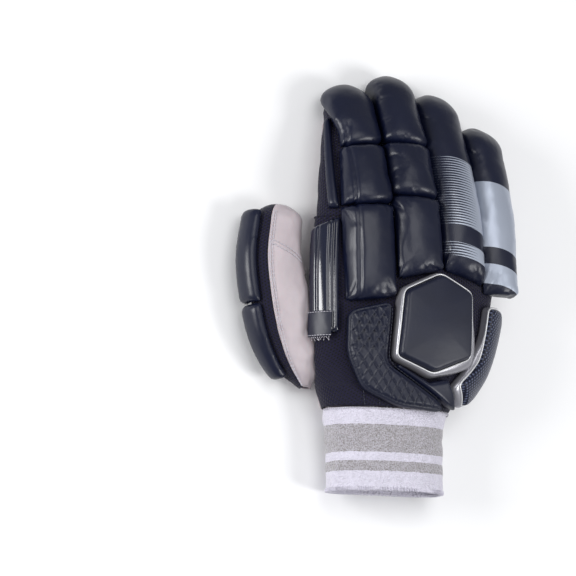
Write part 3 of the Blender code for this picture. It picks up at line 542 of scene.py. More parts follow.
def thread_finish(name, colour):
    """Bonded nylon sewing thread, twisted: fine, with a slight sheen."""
    made, tree, shader, place = start_finish(
        name, 0.55, ior=1.53, **{"Sheen Weight": 0.3, "Sheen Roughness": 0.4})
    spread_colour(tree, shader, place, shade(colour, 0.75), colour, 0.5)
    rough_up(tree, shader, ((grain(tree, place, 0.25, "ShaderNodeTexNoise"), 0.05, 0.6),))
    return made


FINISHES = {}


def finishes(context):
    """All the finishes, made once from the colours in the sidebar."""
    if FINISHES:
        return FINISHES
    look, sizes = context.scene.glove_colours, context.scene.glove_sizes
    tone = {key: list(getattr(look, key)) for key in GloveColours.__annotations__}
    navy = (tone["navy"], tone["navy_high"])
    # The printed bands' places are in millimetres: across the glove, then along it
    FINISHES.update({
        "padding": padding_finish("coated padding, navy", *navy),
        "embossed": padding_finish("embossed padding, navy", *navy, 0.46),
        # The dots are about 1.6 mm apart; they are drawn at 2.3 mm so that they show
        # The dots' colour, #616986, is a painted highlight for the light that the raised dots catch
        "dotted": dotted_finish("embossed padding, dotted", *navy, linear("#616986"),
                                sizes.dot_spacing),
        "ring": banded_finish(
            "coated padding, ring bands", sizes, *navy, tone["silver_print"], (33.0, 66.0), 7.5,
            ((211.5, 161.0), (148.5, 139.0)), 0.75),
        "little": banded_finish(
            "coated padding, little bands", sizes, *navy, tone["silver_print"], (67.0, 95.0), 6.5,
            ((196.5, 148.5), (136.5, 122.5)), 0.0),
        "mesh": mesh_finish("air mesh, navy", tone["mesh_low"], tone["mesh_high"],
                            sizes.mesh_spacing),
        "leather": leather_finish("whitened leather", tone["leather_low"], tone["leather"]),
        "towel": towel_finish("terry knit", sizes, tone["towel"], tone["melange"],
                              ((18.0, -1.0), (-7.0, -14.0))),
        "silver": moulded_finish("moulded trim, silver grey", tone["trim_low"], tone["trim"],
                                 0.3, 0.55),
        "piping": moulded_finish("piping, pale silver", shade(tone["piping"]), tone["piping"],
                                 0.3, 0.25),
        "plate": moulded_finish("moulded plate, satin navy", *navy, 0.42),
        "gloss": moulded_finish("moulded shell, gloss navy", *navy, 0.16, coat=0.5),
        "white": moulded_finish("moulded strap, white", shade(tone["strap"]), tone["strap"], 0.45),
        "block": moulded_finish("moulded block, grey", shade(tone["block"]), tone["block"], 0.4),
        # Painted shade: the vents are near-black discs standing in for the shade inside each
        # punched hole
        "hole": moulded_finish("punched vent", linear("#1a1a1a"), linear("#212121"), 0.9),
        "hook": thread_finish("hook tape, black", tone["hook"]),
        "thread": thread_finish("thread, pale", tone["thread"]),
        "dark_thread": thread_finish("thread, navy", tone["navy_high"]),
    })
    return FINISHES


# Meshes

# Points nearer than this are one point, and no piece dips under the floor, in metres
WELD, FLOOR_GAP = 1e-6, 0.0004


def place_piece(name, mesh, finish, replaced=(), fill=None):
    made = bpy.data.objects.new(name, mesh)
    bpy.context.scene.collection.objects.link(made)
    mesh.materials.clear()
    mesh.materials.append(finish)
    mesh.shade_smooth()
    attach(made, "root")
    if replaced:
        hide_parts(*replaced)
    return made


def mesh_from(work, name, solid=False):
    """Ends the building of a mesh: its faces agree, and a solid's look outward."""
    bmesh.ops.recalc_face_normals(work, faces=work.faces)
    if solid and work.calc_volume(signed=True) < 0.0:
        bmesh.ops.reverse_faces(work, faces=work.faces)
    made = bpy.data.meshes.new(name)
    work.to_mesh(made)
    work.free()
    return made


def join_rings(work, rings, around=False):
    """Faces between rings of points. Around joins the last ring to the first; otherwise the first
    and the last are closed."""
    for k in range(len(rings) if around else len(rings) - 1):
        low, high = rings[k], rings[(k + 1) % len(rings)]
        for m in range(len(low)):
            n = (m + 1) % len(low)
            work.faces.new((low[m], low[n], high[n], high[m]))
    if not around:
        work.faces.new(rings[0][::-1])
        work.faces.new(rings[-1])


def mesh_of(grids, name, closed=False):
    """One mesh from grids of points, with the distance along and across each as its map."""
    work = bmesh.new()
    layer = work.loops.layers.uv.new("distances")
    for grid, keep in grids:
        rows, columns = len(grid), len(grid[0])
        spots = [[work.verts.new(point * MM) for point in row] for row in grid]
        across = [[0.0] * (columns + 1) for _ in range(rows)]
        middle = columns // 2
        for i, row in enumerate(grid):
            for j in range(columns):
                gap = (row[(j + 1) % columns] - row[j]).length * MM
                across[i][j + 1] = across[i][j] + gap
            offset = across[i][middle]
            across[i] = [value - offset for value in across[i]]
        down = [0.0]
        for i in range(rows - 1):
            down.append(down[-1] + (grid[i + 1][middle] - grid[i][middle]).length * MM)
        for i in range(rows - 1):
            for j in range(columns if closed else columns - 1):
                if keep and not keep(i, j):
                    continue
                n = (j + 1) % columns
                corners = ((i, j, j), (i, n, j + 1), (i + 1, n, j + 1), (i + 1, j, j))
                face = work.faces.new([spots[a][b] for a, b, _ in corners])
                for loop, (a, _, c) in zip(face.loops, corners):
                    loop[layer].uv = (across[a][c], down[a])
    bmesh.ops.remove_doubles(work, verts=work.verts, dist=WELD)
    loose = [v for v in work.verts if not v.link_faces]
    bmesh.ops.delete(work, geom=loose, context="VERTS")
    return mesh_from(work, name)


def turn_outward(mesh, way=None):
    """Flips an open sheet whose normals point inward, judged by its middle."""
    centre = sum((v.co for v in mesh.vertices), Vector()) / len(mesh.vertices)
    total = 0.0
    for face in mesh.polygons:
        towards = way if way else face.center - centre
        total += face.normal.dot(towards) * face.area
    if total < 0.0:
        mesh.flip_normals()


def subdivided(made):
    made.modifiers.new("round", "SUBSURF").render_levels = 1


def thicken(made, thickness, smooth=True):
    """Gives a sheet its wall, inward, in millimetres."""
    wall = made.modifiers.new("wall", "SOLIDIFY")
    wall.thickness, wall.offset = thickness * MM, -1.0
    wall.use_even_offset = True
    if smooth:
        subdivided(made)


def wrinkled(point, depth, size, seed=0.0):
    """A point's offset for soft creases, the same each run."""
    spot = point / size + Vector((seed, seed * 0.7, seed * 1.3))
    return depth * noise.noise(spot) + 0.4 * depth * noise.noise(spot * 2.3)


def closed_between(inner, outer):
    """A closed body between two grids of points, for padding."""
    work = bmesh.new()
    rows, columns = len(outer), len(outer[0])
    low = [[work.verts.new(point * MM) for point in row] for row in inner]
    high = [[work.verts.new(point * MM) for point in row] for row in outer]
    for i in range(rows - 1):
        for j in range(columns - 1):
            for grid in (low, high):
                work.faces.new((grid[i][j], grid[i][j + 1], grid[i + 1][j + 1], grid[i + 1][j]))
    rim = [(i, 0) for i in range(rows)] + [(rows - 1, j) for j in range(1, columns)]
    rim += [(i, columns - 1) for i in range(rows - 2, -1, -1)]
    rim += [(0, j) for j in range(columns - 2, 0, -1)]
    for (a, b), (c, d) in zip(rim, rim[1:] + rim[:1]):
        work.faces.new((low[a][b], low[c][d], high[c][d], high[a][b]))
    bmesh.ops.remove_doubles(work, verts=work.verts, dist=WELD)
    return mesh_from(work, "padding", solid=True)


def evaluated(made):
    graph = bpy.context.evaluated_depsgraph_get()
    return bpy.data.meshes.new_from_object(made.evaluated_get(graph))


def remeshed(mesh, voxel, smoothing):
    """The same body in even quads, with its edges softened."""
    made = bpy.data.objects.new("remesh", mesh)
    bpy.context.scene.collection.objects.link(made)
    even = made.modifiers.new("even", "REMESH")
    even.mode, even.voxel_size = "VOXEL", voxel * MM
    soft = made.modifiers.new("soft", "SMOOTH")
    soft.factor, soft.iterations = 0.5, smoothing
    bpy.context.view_layer.update()
    result = evaluated(made)
    bpy.data.objects.remove(made)
    return result


def faces_in(vertex, skin):
    """True where a pad's surface looks towards the tube it lies on."""
    spot = vertex.co / MM
    row, _ = skin.section(min(max(spot.y, skin.sections[0].y), skin.last))
    away = Vector((spot.x - row.x, 0.0, spot.z - row.z))
    return vertex.normal.dot(away) < 0.25 * away.length


def inflated(meshes, skins, pressure, cap):
    """Cloth simulation of closed pads, all at once, with their undersides held."""
    makers = []
    for mesh, skin in zip(meshes, skins):
        made = bpy.data.objects.new("inflate", mesh.copy())
        bpy.context.scene.collection.objects.link(made)
        group = made.vertex_groups.new(name="held")
        group.add([v.index for v in mesh.vertices if faces_in(v, skin)], 1.0, "REPLACE")
        cloth = made.modifiers.new("cloth", "CLOTH")
        settings = cloth.settings
        settings.quality, settings.mass = 5, 0.05
        settings.tension_stiffness = settings.compression_stiffness = 25.0
        settings.shear_stiffness, settings.bending_stiffness = 12.0, 1.5
        settings.use_pressure, settings.uniform_pressure_force = True, pressure
        settings.effector_weights.gravity = 0.0
        settings.vertex_group_mass = "held"
        cloth.collision_settings.use_collision = False
        cloth.point_cache.frame_start, cloth.point_cache.frame_end = 1, 20
        makers.append(made)
    for number in range(1, 21):
        bpy.context.scene.frame_set(number)
    for mesh, made in zip(meshes, makers):
        result = evaluated(made)
        for before, after in zip(mesh.vertices, result.vertices):
            move = after.co - before.co
            if move.length > cap:
                move *= cap / move.length
            before.co += move
    for made in makers:
        bpy.data.objects.remove(made)
    bpy.context.scene.frame_set(1)


def bulge(share, power=2.6):
    return max(0.0, 1.0 - abs(share) ** power) ** (1.0 / power)


PAD_ACROSS = [math.sin(math.radians(a)) for a in steps(-90.0, 90.0, 26)]
HOOD_REACH = -76.0


def finger_pad_mesh(segment):
    """A padded segment's body: it lies on its finger, and the last one wraps the fingertip."""
    digit, skin = DIGITS[segment.digit], FINGERS[segment.digit]
    start = FORK_Y + segment.start * (digit.length if segment.start > 0.0 else PALM_LENGTH)
    last = segment.stop is None
    stop = skin.last if last else FORK_Y + segment.stop * digit.length
    middle = 0.5 * (digit.pad_to + digit.pad_from)
    soft = 8.5 if segment.digit > 1 else 4.5
    rows = [start + soft * (1.0 - math.cos(math.radians(a))) for a in steps(0.0, 90.0, 5)]
    if last:
        rows += steps(start + soft, stop, round((stop - start) / 2.5))[1:]
    else:
        rows += steps(start + soft, stop - soft, round((stop - start) / 2.5))[1:]
        rows += [stop - soft * (1.0 - math.sin(math.radians(a))) for a in steps(0.0, 90.0, 5)][1:]
    inner, outer = [], []
    for s in rows:
        hood = max(0.0, (s - skin.straight) / (skin.last - skin.straight)) if last else 0.0
        wrap = 1.0 - (1.0 - hood) ** 3
        reach_down = mix(digit.pad_from, HOOD_REACH, wrap)
        reach_up = mix(digit.pad_to, 180.0 - HOOD_REACH, wrap)
        ramp = 0.0
        if last and segment.digit == 0:
            ramp = max(0.0, s - start - 8.0) / (stop - start - 8.0)
            reach_up = mix(digit.pad_to, 180.0 - HOOD_REACH, ramp ** 1.7)
        height = ROLL_HEIGHT * between(SWELL, "along", (s - FORK_Y) / digit.length).height
        near_end = min(s - start, soft if last else stop - s)
        round_end = bulge(1.0 - min(near_end / soft, 1.0), 2.0)
        row_share = (s - start) / (stop - start)
        inner_row, outer_row = [], []
        for v in reversed(PAD_ACROSS):
            angle = mix(middle, reach_down, v) if v > 0 else mix(middle, reach_up, -v)
            slant = (1.0 - row_share) * segment.start_slant + row_share * segment.stop_slant
            lean = 0.5 * v * slant * FINGER_WIDTH
            if last:
                lean *= 1.0 - min(1.0, row_share * 1.2)
            place = min(s + lean, skin.last)
            turn = (angle - middle) / (0.5 * (digit.pad_to - digit.pad_from) + 30.0 * wrap)
            turn = mix(turn, v, min(1.0, 1.5 * ramp))
            swell = bulge(min(max(turn, -1.0), 1.0), 2.4) * mix(0.35, 1.0, round_end)
            thick = ROLL_EDGE + (height - ROLL_EDGE) * swell
            under = skin.point(place, angle, 0.4)
            top = skin.point(place, angle, 0.6 + thick + 1.4 * wrap)
            lift = BODY.base(min(under.y, FORK_Y), BODY.angle_at(under.x, min(under.y, FORK_Y))).z
            lift -= 1.4 * max(0.0, under.y - FORK_Y - 6.0)
            if under.z < lift and -30 < angle < 210:
                under.z = lift
                top.z = max(top.z, under.z + mix(ROLL_EDGE, 0.6 * height, bulge(v) * round_end))
            for point, room in ((under, 0.8), (top, 0.0)):
                left = roll_line(segment.digit, point.y) + 0.2 + room
                right = roll_line(segment.digit + 1, point.y) - 0.2 - room
                point.x = min(max(point.x, left), right)
            inner_row.append(under)
            outer_row.append(top)
        inner.append(inner_row)
        outer.append(outer_row)
    if last:
        end = skin.base(skin.last, 90.0)
        centre = skin.base(skin.last - 4.0, 90.0).lerp(skin.base(skin.last - 4.0, 270.0), 0.5)
        way = (end - centre).normalized()
        inner[-1] = [end + way * 0.4] * len(PAD_ACROSS)
        outer[-1] = [end + way * 9.4] * len(PAD_ACROSS)
    return closed_between(inner, outer)


def cushion_mesh(skin, start, stop, angles, height, seat, edge, power, fine=1.6, relief=None,
                 lean=0.0, drift=0.0):
    """A padded rectangle on a skin, with a round rim. Lean shears it along the skin, in
    millimetres, and drift turns it round the skin, in degrees."""
    soft = min(4.0, 0.3 * (stop - start))
    rows = steps(start, stop, max(8, round((stop - start) / fine)))
    half, middle = 0.5 * (angles[1] - angles[0]), 0.5 * (angles[1] + angles[0])
    columns = [middle + math.sin(math.radians(a)) * half
               for a in steps(-90.0, 90.0, 40 if relief else 14)]
    inner, outer = [], []
    for s in rows:
        end = bulge(1.0 - min(min(s - start, stop - s) / soft, 1.0), 2.0)
        share = (s - start) / (stop - start)
        places = [(s + lean * share * (middle - a) / half, a) for a in columns]
        inner.append([skin.point(y, a + drift * share, seat) for y, a in places])
        outer.append([
            skin.point(y, a + drift * share, seat + edge + (height - edge)
                       * bulge((a - middle) / half, power) * mix(0.3, 1.0, end)
                       + (relief(a) * end if relief else 0.0))
            for y, a in places])
    return closed_between(inner, outer)


def rounded(corners, corner, step):
    """Points along an outline with its corners rounded off, about a step apart."""
    corners = [Vector((*spot, 0.0)) for spot in corners]
    points = []
    for k, here in enumerate(corners):
        before, after = corners[k - 1], corners[(k + 1) % len(corners)]
        cut_in = min(corner, 0.4 * (before - here).length)
        cut_out = min(corner, 0.4 * (after - here).length)
        first = here + (before - here).normalized() * cut_in
        final = here + (after - here).normalized() * cut_out
        for t in steps(0.0, 1.0, 4):
            points.append(first.lerp(here, t).lerp(here.lerp(final, t), t))
        room = (after - here).length - cut_out - min(corner, 0.4 * (after - here).length)
        count = max(1, round(room / step))
        for n in range(1, count):
            points.append(final.lerp(after, n * room / count / (after - final).length))
    return points


def within(border, x, y):
    """How deep a place lies inside an outline, in millimetres; less than nought outside."""
    inside, nearest = False, 1e9
    for k, a in enumerate(border):
        b = border[k - 1]
        if (a.y > y) != (b.y > y) and x < (b.x - a.x) * (y - a.y) / (b.y - a.y) + a.x:
            inside = not inside
        edge = b - a
        share = min(max(((x - a.x) * edge.x + (y - a.y) * edge.y) / edge.length_squared, 0), 1)
        nearest = min(nearest, math.hypot(x - a.x - edge.x * share, y - a.y - edge.y * share))
    return nearest if inside else -nearest


def flat_cells(border, fine):
    """The inside of an outline cut into small cells: its places, the faces, and the edge."""
    work = bmesh.new()
    work.faces.new([work.verts.new(point) for point in border])
    bmesh.ops.triangulate(work, faces=work.faces[:])
    for axis in (0, 1):
        values = [point[axis] for point in border]
        count = max(2, round((max(values) - min(values)) / fine))
        normal = Vector((0.0, 0.0, 0.0))
        normal[axis] = 1.0
        for value in steps(min(values), max(values), count)[1:-1]:
            bmesh.ops.bisect_plane(
                work, geom=work.verts[:] + work.edges[:] + work.faces[:], dist=1e-4,
                plane_co=normal * (value + 0.0137), plane_no=normal)
    work.verts.index_update()
    spots = [vertex.co.copy() for vertex in work.verts]
    faces = [[vertex.index for vertex in face.verts] for face in work.faces]
    rim = [(loop.vert.index, loop.link_loop_next.vert.index)
           for face in work.faces for loop in face.loops if loop.edge.is_boundary]
    work.free()
    return spots, faces, rim


def panel_mesh(outline, height, edge, rim, corner, fine, seat, relief=None, flank=False):
    """A padded panel of any outline on the hand. Relief adds height at a place inside it."""
    border = rounded(
        [(x * FLANK_SCALE, y) for x, y in outline] if flank else outline, corner, 2.0)
    spots, faces, edge_pairs = flat_cells(border, fine)
    work = bmesh.new()
    layer = work.loops.layers.uv.new("distances")
    low, high = [], []
    for spot in spots:
        depth = max(0.0, within(border, spot.x, spot.y))
        share = min(depth / rim, 1.0)
        out = edge + (height - edge) * math.sqrt(1.0 - (1.0 - share) ** 2)
        if relief:
            out += relief(spot.x, spot.y, depth)
        angle = spot.x / FLANK_SCALE if flank else BODY.angle_at(spot.x, spot.y)
        low.append(work.verts.new(BODY.point(spot.y, angle, seat) * MM))
        high.append(work.verts.new(BODY.point(spot.y, angle, seat + out) * MM))
    for corners in faces:
        for layer_of, order in ((high, corners), (low, corners[::-1])):
            face = work.faces.new([layer_of[k] for k in order])
            for loop, k in zip(face.loops, order):
                loop[layer].uv = (spots[k].x * MM, spots[k].y * MM)
    for a, b in edge_pairs:
        face = work.faces.new((low[a], low[b], high[b], high[a]))
        along = (spots[b] - spots[a]).normalized()
        drop = Vector((along.y, -along.x, 0.0)) * edge
        for loop, spot in zip(face.loops, (
                spots[a] + drop, spots[b] + drop, spots[b], spots[a])):
            loop[layer].uv = (spot.x * MM, spot.y * MM)
    return mesh_from(work, "panel", solid=True)


def along_line(points, gap):
    """Points an even gap apart along a line, each with its direction."""
    result, carried = [], 0.0
    for a, b in zip(points, points[1:]):
        length = (b - a).length
        if length < 1e-9:
            continue
        way = (b - a) / length
        while carried <= length:
            result.append((a + way * carried, way))
            carried += gap
        carried -= length
    return result


def stitches(name, lines, finish, length=2.0, gap=2.7, radius=0.28):
    """Rows of sewn stitches, each a short tapered thread. Lines are in millimetres."""
    work = bmesh.new()
    for points in lines:
        for spot, way in along_line(points, gap):
            side = way.orthogonal().normalized()
            up = way.cross(side)
            rings = []
            for share in (-0.5, -0.35, 0.0, 0.35, 0.5):
                thick = radius * (0.35 if abs(share) == 0.5 else 1.0)
                ring = []
                for k in range(6):
                    a = math.radians(60.0 * k)
                    offset = side * math.cos(a) * thick + up * math.sin(a) * thick
                    ring.append(work.verts.new((spot + way * share * length + offset) * MM))
                rings.append(ring)
            join_rings(work, rings)
    return place_piece(name, mesh_from(work, name), finish)


def cord_along(name, lines, radius, finish, closed=False, sides=10):
    """Piping: a round bead swept along lines of points in millimetres."""
    work = bmesh.new()
    for points in lines:
        count = len(points)
        rings = []
        for k, point in enumerate(points):
            before = points[k - 1] if k or closed else point
            after = points[(k + 1) % count] if k < count - 1 or closed else point
            way = (after - before).normalized()
            up = Vector((0.0, 0.0, 1.0))
            side = way.cross(up).normalized()
            up = side.cross(way).normalized()
            ring = []
            for m in range(sides):
                a = 2.0 * math.pi * m / sides
                offset = side * math.cos(a) * radius + up * math.sin(a) * radius
                ring.append(work.verts.new((point + offset) * MM))
            rings.append(ring)
        join_rings(work, rings, around=closed)
    return place_piece(name, mesh_from(work, name), finish)


def discs(name, spots, radius, finish):
    """Small sunk rings for punched holes. Spots hold a place and the surface's direction."""
    work = bmesh.new()
    for spot, out in spots:
        side = out.orthogonal().normalized()
        up = out.cross(side)
        ring = []
        for k in range(10):
            a = math.radians(36.0 * k)
            ring.append(work.verts.new(
                (spot + (side * math.cos(a) + up * math.sin(a)) * radius) * MM))
        centre = work.verts.new((spot - out * 0.12) * MM)
        for k in range(10):
            work.faces.new((ring[k], ring[(k + 1) % 10], centre))
    made = bpy.data.meshes.new(name)
    work.to_mesh(made)
    work.free()
    return place_piece(name, made, finish)


# Shells of cloth and leather

FABRIC = 1.6
LEATHER = 1.3
LEATHER_SEAT = 0.6
FRONT_REACH = 50.0
PALM_REACH_LEFT, PALM_REACH_RIGHT = 0.90, 0.95
HOLE_FROM, HOLE_TO = WRIST_Y + 0.12 * PALM_LENGTH, WRIST_Y + 0.66 * PALM_LENGTH
THUMB_OPEN_UNTIL = HOLE_TO + 4.0
THUMB_SEAM_BACK, THUMB_SEAM_PALM = 122.0, -104.0
THUMB_OPEN_FROM, THUMB_OPEN_TO = -26.0, 40.0
STRAP_WIDTH, STRAP_THICKNESS, PATCH_THICKNESS, HOOK_THICKNESS = 42.0, 2.4, 1.5, 1.2
STRAP_FROM, STRAP_TO = 250.0, 352.0
CUFF_WALL = 3.0
BADGE_MIDDLE = Vector((22.5, 88.5, 0.0))
BADGE_CORNER, QUILT_CORNER, SIDE_CORNER = 4.0, 7.0, 4.0
# Where the palm's leather and the cloth under the fingers start to step down, before the fork
STEP_LENGTH = 6.0
# How far the leather's round end reaches along a fingertip, as a share of it
FRONT_END = 0.35


def gusset_point(skin, share, angle):
    """A place on the cloth that closes the step from the hand down to a finger's underside."""
    start = skin.point(FORK_Y + 0.4, angle, -0.5)
    s = FORK_Y - STEP_LENGTH * share
    hand, _ = BODY.section(s)
    under = BODY.base(s, BODY.angle_at(start.x, s, above=False))
    height = min(max(start.z, under.z + 0.3), hand.z)
    return Vector((mix(start.x, under.x, share), s, mix(start.z, height, share)))


def sleeve_mesh(skin, name):
    rows = steps(FORK_Y + 0.4, skin.straight, 30) + steps(skin.straight, skin.last, 12)[1:]
    columns = steps(0.0, 360.0, 56)[:-1]
    grid = [[gusset_point(skin, share, a) for a in columns] for share in (1.0, 0.67, 0.33, 0.0)]
    for s in rows:
        settled = min((s - FORK_Y) / 12.0, 1.0)
        grid.append([
            skin.point(s, a, -0.5 + wrinkled(skin.base(s, a), 0.7 * settled, 9.0))
            for a in columns])
    mesh = mesh_of([(grid, None)], name, closed=True)
    turn_outward(mesh)
    return mesh


def palm_columns(front_columns):
    """Each column's share of the hand's half width, and the finger and side it runs into."""
    ends = [[skin.base(FORK_Y, 270.0 + FRONT_REACH * side).x for side in (-1.0, 1.0)]
            for skin in FINGERS]
    near, far = ends[0][0], ends[-1][1]
    places = [(-PALM_REACH_LEFT, None, 0.0), (-0.95 * PALM_REACH_LEFT, None, 0.0)]
    for k, (left, right) in enumerate(ends):
        for c in range(front_columns + 1):
            across = (mix(left, right, c / front_columns) - near) / (far - near)
            share = mix(-0.90 * PALM_REACH_LEFT, 0.92 * PALM_REACH_RIGHT, across)
            places.append((share, k, 2.0 * c / front_columns - 1.0))
    return places + [(0.96 * PALM_REACH_RIGHT, None, 0.0), (PALM_REACH_RIGHT, None, 0.0)]


def front_reach(skin, s):
    """The leather's half width on a finger, in degrees: it narrows to a round end."""
    end = skin.straight + FRONT_END * skin.end
    from_end = min(1.0, max(0.0, end - s) / (0.5 * FINGER_WIDTH))
    return FRONT_REACH * max(0.12, math.sqrt(1.0 - (1.0 - from_end) ** 2))


def palm_mesh():
    """The palm and the four finger fronts, one sheet of leather."""
    places = palm_columns(10)
    palm_rows, front_rows = 34, 30
    grid = []
    for s in steps(WRIST_Y + 0.4, FORK_Y - STEP_LENGTH, palm_rows):
        here, _ = BODY.section(s)
        row = []
        for share, _, _ in places:
            angle = BODY.angle_at(here.x + share * here.left, s, above=False)
            crease = wrinkled(BODY.base(s, angle), 0.9, 16.0)
            row.append(BODY.point(s, angle, LEATHER_SEAT + LEATHER + crease))
        grid.append(row)
    for i in range(front_rows + 1):
        row = []
        for share, k, side in places:
            if k is None:
                k, side = (0, -1.0) if share < 0.0 else (len(FINGERS) - 1, 1.0)
            skin = FINGERS[k]
            s = mix(FORK_Y, skin.straight + FRONT_END * skin.end,
                    math.sin(i / front_rows * math.pi / 2.0))
            angle = 270.0 + front_reach(skin, s) * side
            crease = wrinkled(skin.base(s, angle), 0.5, 8.0)
            row.append(skin.point(s, angle, LEATHER_SEAT + LEATHER + crease))
        grid.append(row)

    def keep(i, j):
        left, right = places[j][1], places[j + 1][1]
        return i <= palm_rows or (left is not None and left == right)

    mesh = mesh_of([(grid, keep)], "palm_leather_sheet")
    turn_outward(mesh, Vector((0.0, 0.0, -1.0)))
    return mesh


def thumb_edge(s):
    """The angle at which the hand's flank comes down to the thumb."""
    row, _ = THUMB.section(s)
    for angle in steps(160.0, 186.0, 52):
        point = BODY.point(s, angle, -FABRIC)
        across = abs(point.x - row.x) / (row.right + 1.3)
        height = abs(point.z - row.z) / (row.up + 1.3)
        if across ** 2.2 + height ** 2.2 < 1.0:
            break
    return angle


def hand_back_mesh():
    """The back and both flanks, with the way in to the thumb left open."""
    rows = steps(WRIST_Y + 0.4, HOLE_FROM, 8) + steps(HOLE_FROM, HOLE_TO, 40)[1:]
    rows += steps(HOLE_TO, FORK_Y - 0.4, 22)[1:]
    split, past = 90, 8
    grid = []
    for s in rows:
        edge = thumb_edge(s) if HOLE_FROM <= s <= HOLE_TO else 178.0
        angles = steps(-38.0, edge, split) + steps(edge, 216.0, past)[1:]
        grid.append([
            BODY.point(s, a, -0.3 + wrinkled(BODY.base(s, a), 0.45, 13.0)) for a in angles])

    def keep(i, j):
        middle = 0.5 * (rows[i] + rows[i + 1])
        return j < split or not HOLE_FROM < middle < HOLE_TO

    mesh = mesh_of([(grid, keep)], "hand_back_mesh")
    turn_outward(mesh)
    return mesh


def in_finger(spot):
    """True inside a finger's tube where it leaves the hand."""
    for skin in FINGERS:
        row, _ = skin.section(FORK_Y)
        x, z = spot.x - row.x, spot.z - row.z
        across = x * math.cos(skin.tilt) + z * math.sin(skin.tilt)
        height = z * math.cos(skin.tilt) - x * math.sin(skin.tilt)
        wide = row.right if across >= 0 else row.left
        tall = row.up if height >= 0 else row.down
        if (abs(across) / wide) ** 2.3 + (abs(height) / tall) ** 2.3 < 0.9:
            return True
    return False


def web_mesh():
    """The cloth that closes the hand between the roots of the fingers."""
    row, _ = BODY.section(FORK_Y)
    spine = Vector((row.x, FORK_Y, row.z))
    rim = [BODY.base(FORK_Y - 0.4, a) for a in steps(0.0, 360.0, 140)[:-1]]
    grid = []
    for share in steps(0.0, 1.0, 24):
        ring = []
        for point in rim:
            inner = Vector((mix(point.x, spine.x, 0.25 * share), FORK_Y + 1.5 * share,
                            mix(point.z, spine.z, share)))
            ring.append(inner)
        grid.append(ring)

    def keep(i, j):
        corners = (grid[i][j], grid[i + 1][j], grid[i][(j + 1) % 140])
        return not in_finger((corners[0] + corners[1] + corners[2]) / 3.0)

    mesh = mesh_of([(grid, keep)], "finger_web", closed=True)
    turn_outward(mesh, Vector((0.0, 1.0, 0.0)))
    return mesh


def thumb_rows():
    rows = steps(THUMB_HEEL_Y, THUMB_OPEN_UNTIL, 34)
    rows += steps(THUMB_OPEN_UNTIL, THUMB.straight, 14)[1:]
    return rows + steps(THUMB.straight, THUMB.last - 0.2, 12)[1:]


def thumb_shell(name, angles, depth, size, keep=None):
    rows = thumb_rows()
    grid = []
    for s in rows:
        folds = depth * (1.0 + 1.2 * max(0.0, 1.0 - (s - THUMB_HEEL_Y) / 70.0))
        grid.append([
            THUMB.point(s, a, -0.4 + wrinkled(THUMB.base(s, a), folds, size)) for a in angles])
    mesh = mesh_of([(grid, keep)], name)
    turn_outward(mesh)
    return mesh


def thumb_leather_mesh():
    rows = thumb_rows()
    angles = steps(THUMB_SEAM_PALM, THUMB_OPEN_FROM, 22)
    angles += steps(THUMB_OPEN_FROM, THUMB_OPEN_TO, 16)[1:]
    angles += steps(THUMB_OPEN_TO, THUMB_SEAM_BACK, 24)[1:]

    def keep(i, j):
        joined = rows[i + 1] <= THUMB_OPEN_UNTIL + 0.01
        return not (joined and THUMB_OPEN_FROM <= angles[j] < THUMB_OPEN_TO - 0.01)

    return thumb_shell("thumb_leather_sheet", angles, 0.9, 11.0, keep)


# Reliefs on the back of the hand


def scales_and_lattice(x, y, depth):
    """The quilt's embossing: one slanted lattice, its upper cells tipped up like scales."""
    if depth < 2.4:
        return -0.5 if 1.4 < depth else 0.0
    cell = 6.6
    u, v = (x + 0.6 * y) / cell, (x - 0.6 * y) / cell
    groove = min(abs(u - round(u)), abs(v - round(v)))
    lattice = 1.0 * min(groove / 0.13, 1.0) ** 0.7
    scale = 1.9 * max(1.0 - (u - math.floor(u)), v - math.floor(v)) ** 2
    blend = min(max((y - 62.0) / 10.0, 0.0), 1.0)
    return mix(lattice, scale, blend) * min(1.0, (depth - 2.4) / 1.2)


def crown(_x, _y, depth):
    """The badge's slight swell towards its middle."""
    return 0.9 * (1.0 - max(0.0, 1.0 - depth / 24.0) ** 2)


def back_line(points, out):
    """A line of places on the back of the hand, lifted off it."""
    return [on_back(point, out) for point in points]


def flank_line(points, out):
    return [on_flank(point, out) for point in points]


def grown(points, centre, by):
    return [point + (point - centre).normalized() * by for point in points]


def moulding_mesh(border, centre, width_at, top, on):
    """A bevelled moulding round an outline. Width_at gives its width in a direction."""
    work = bmesh.new()
    rings = []
    for point in border:
        away = (point - centre).normalized()
        width = width_at(away)
        profile = ((0.3, 0.4), (0.3, 0.92 * top), (0.6, 0.99 * top), (1.1, top),
                   (0.70 * width, 0.86 * top), (0.86 * width, 0.66 * top),
                   (width, 0.29 * top), (width, 0.4), (0.5 * width, 0.4))
        rings.append([work.verts.new(on(point + away * far, out) * MM) for far, out in profile])
    join_rings(work, rings, around=True)
    return mesh_from(work, "moulding")


def on_back(point, out):
    return BODY.point(point.y, BODY.angle_at(point.x, point.y), out)


def on_flank(point, out):
    return BODY.point(point.y, point.x / FLANK_SCALE, out)


# Operators


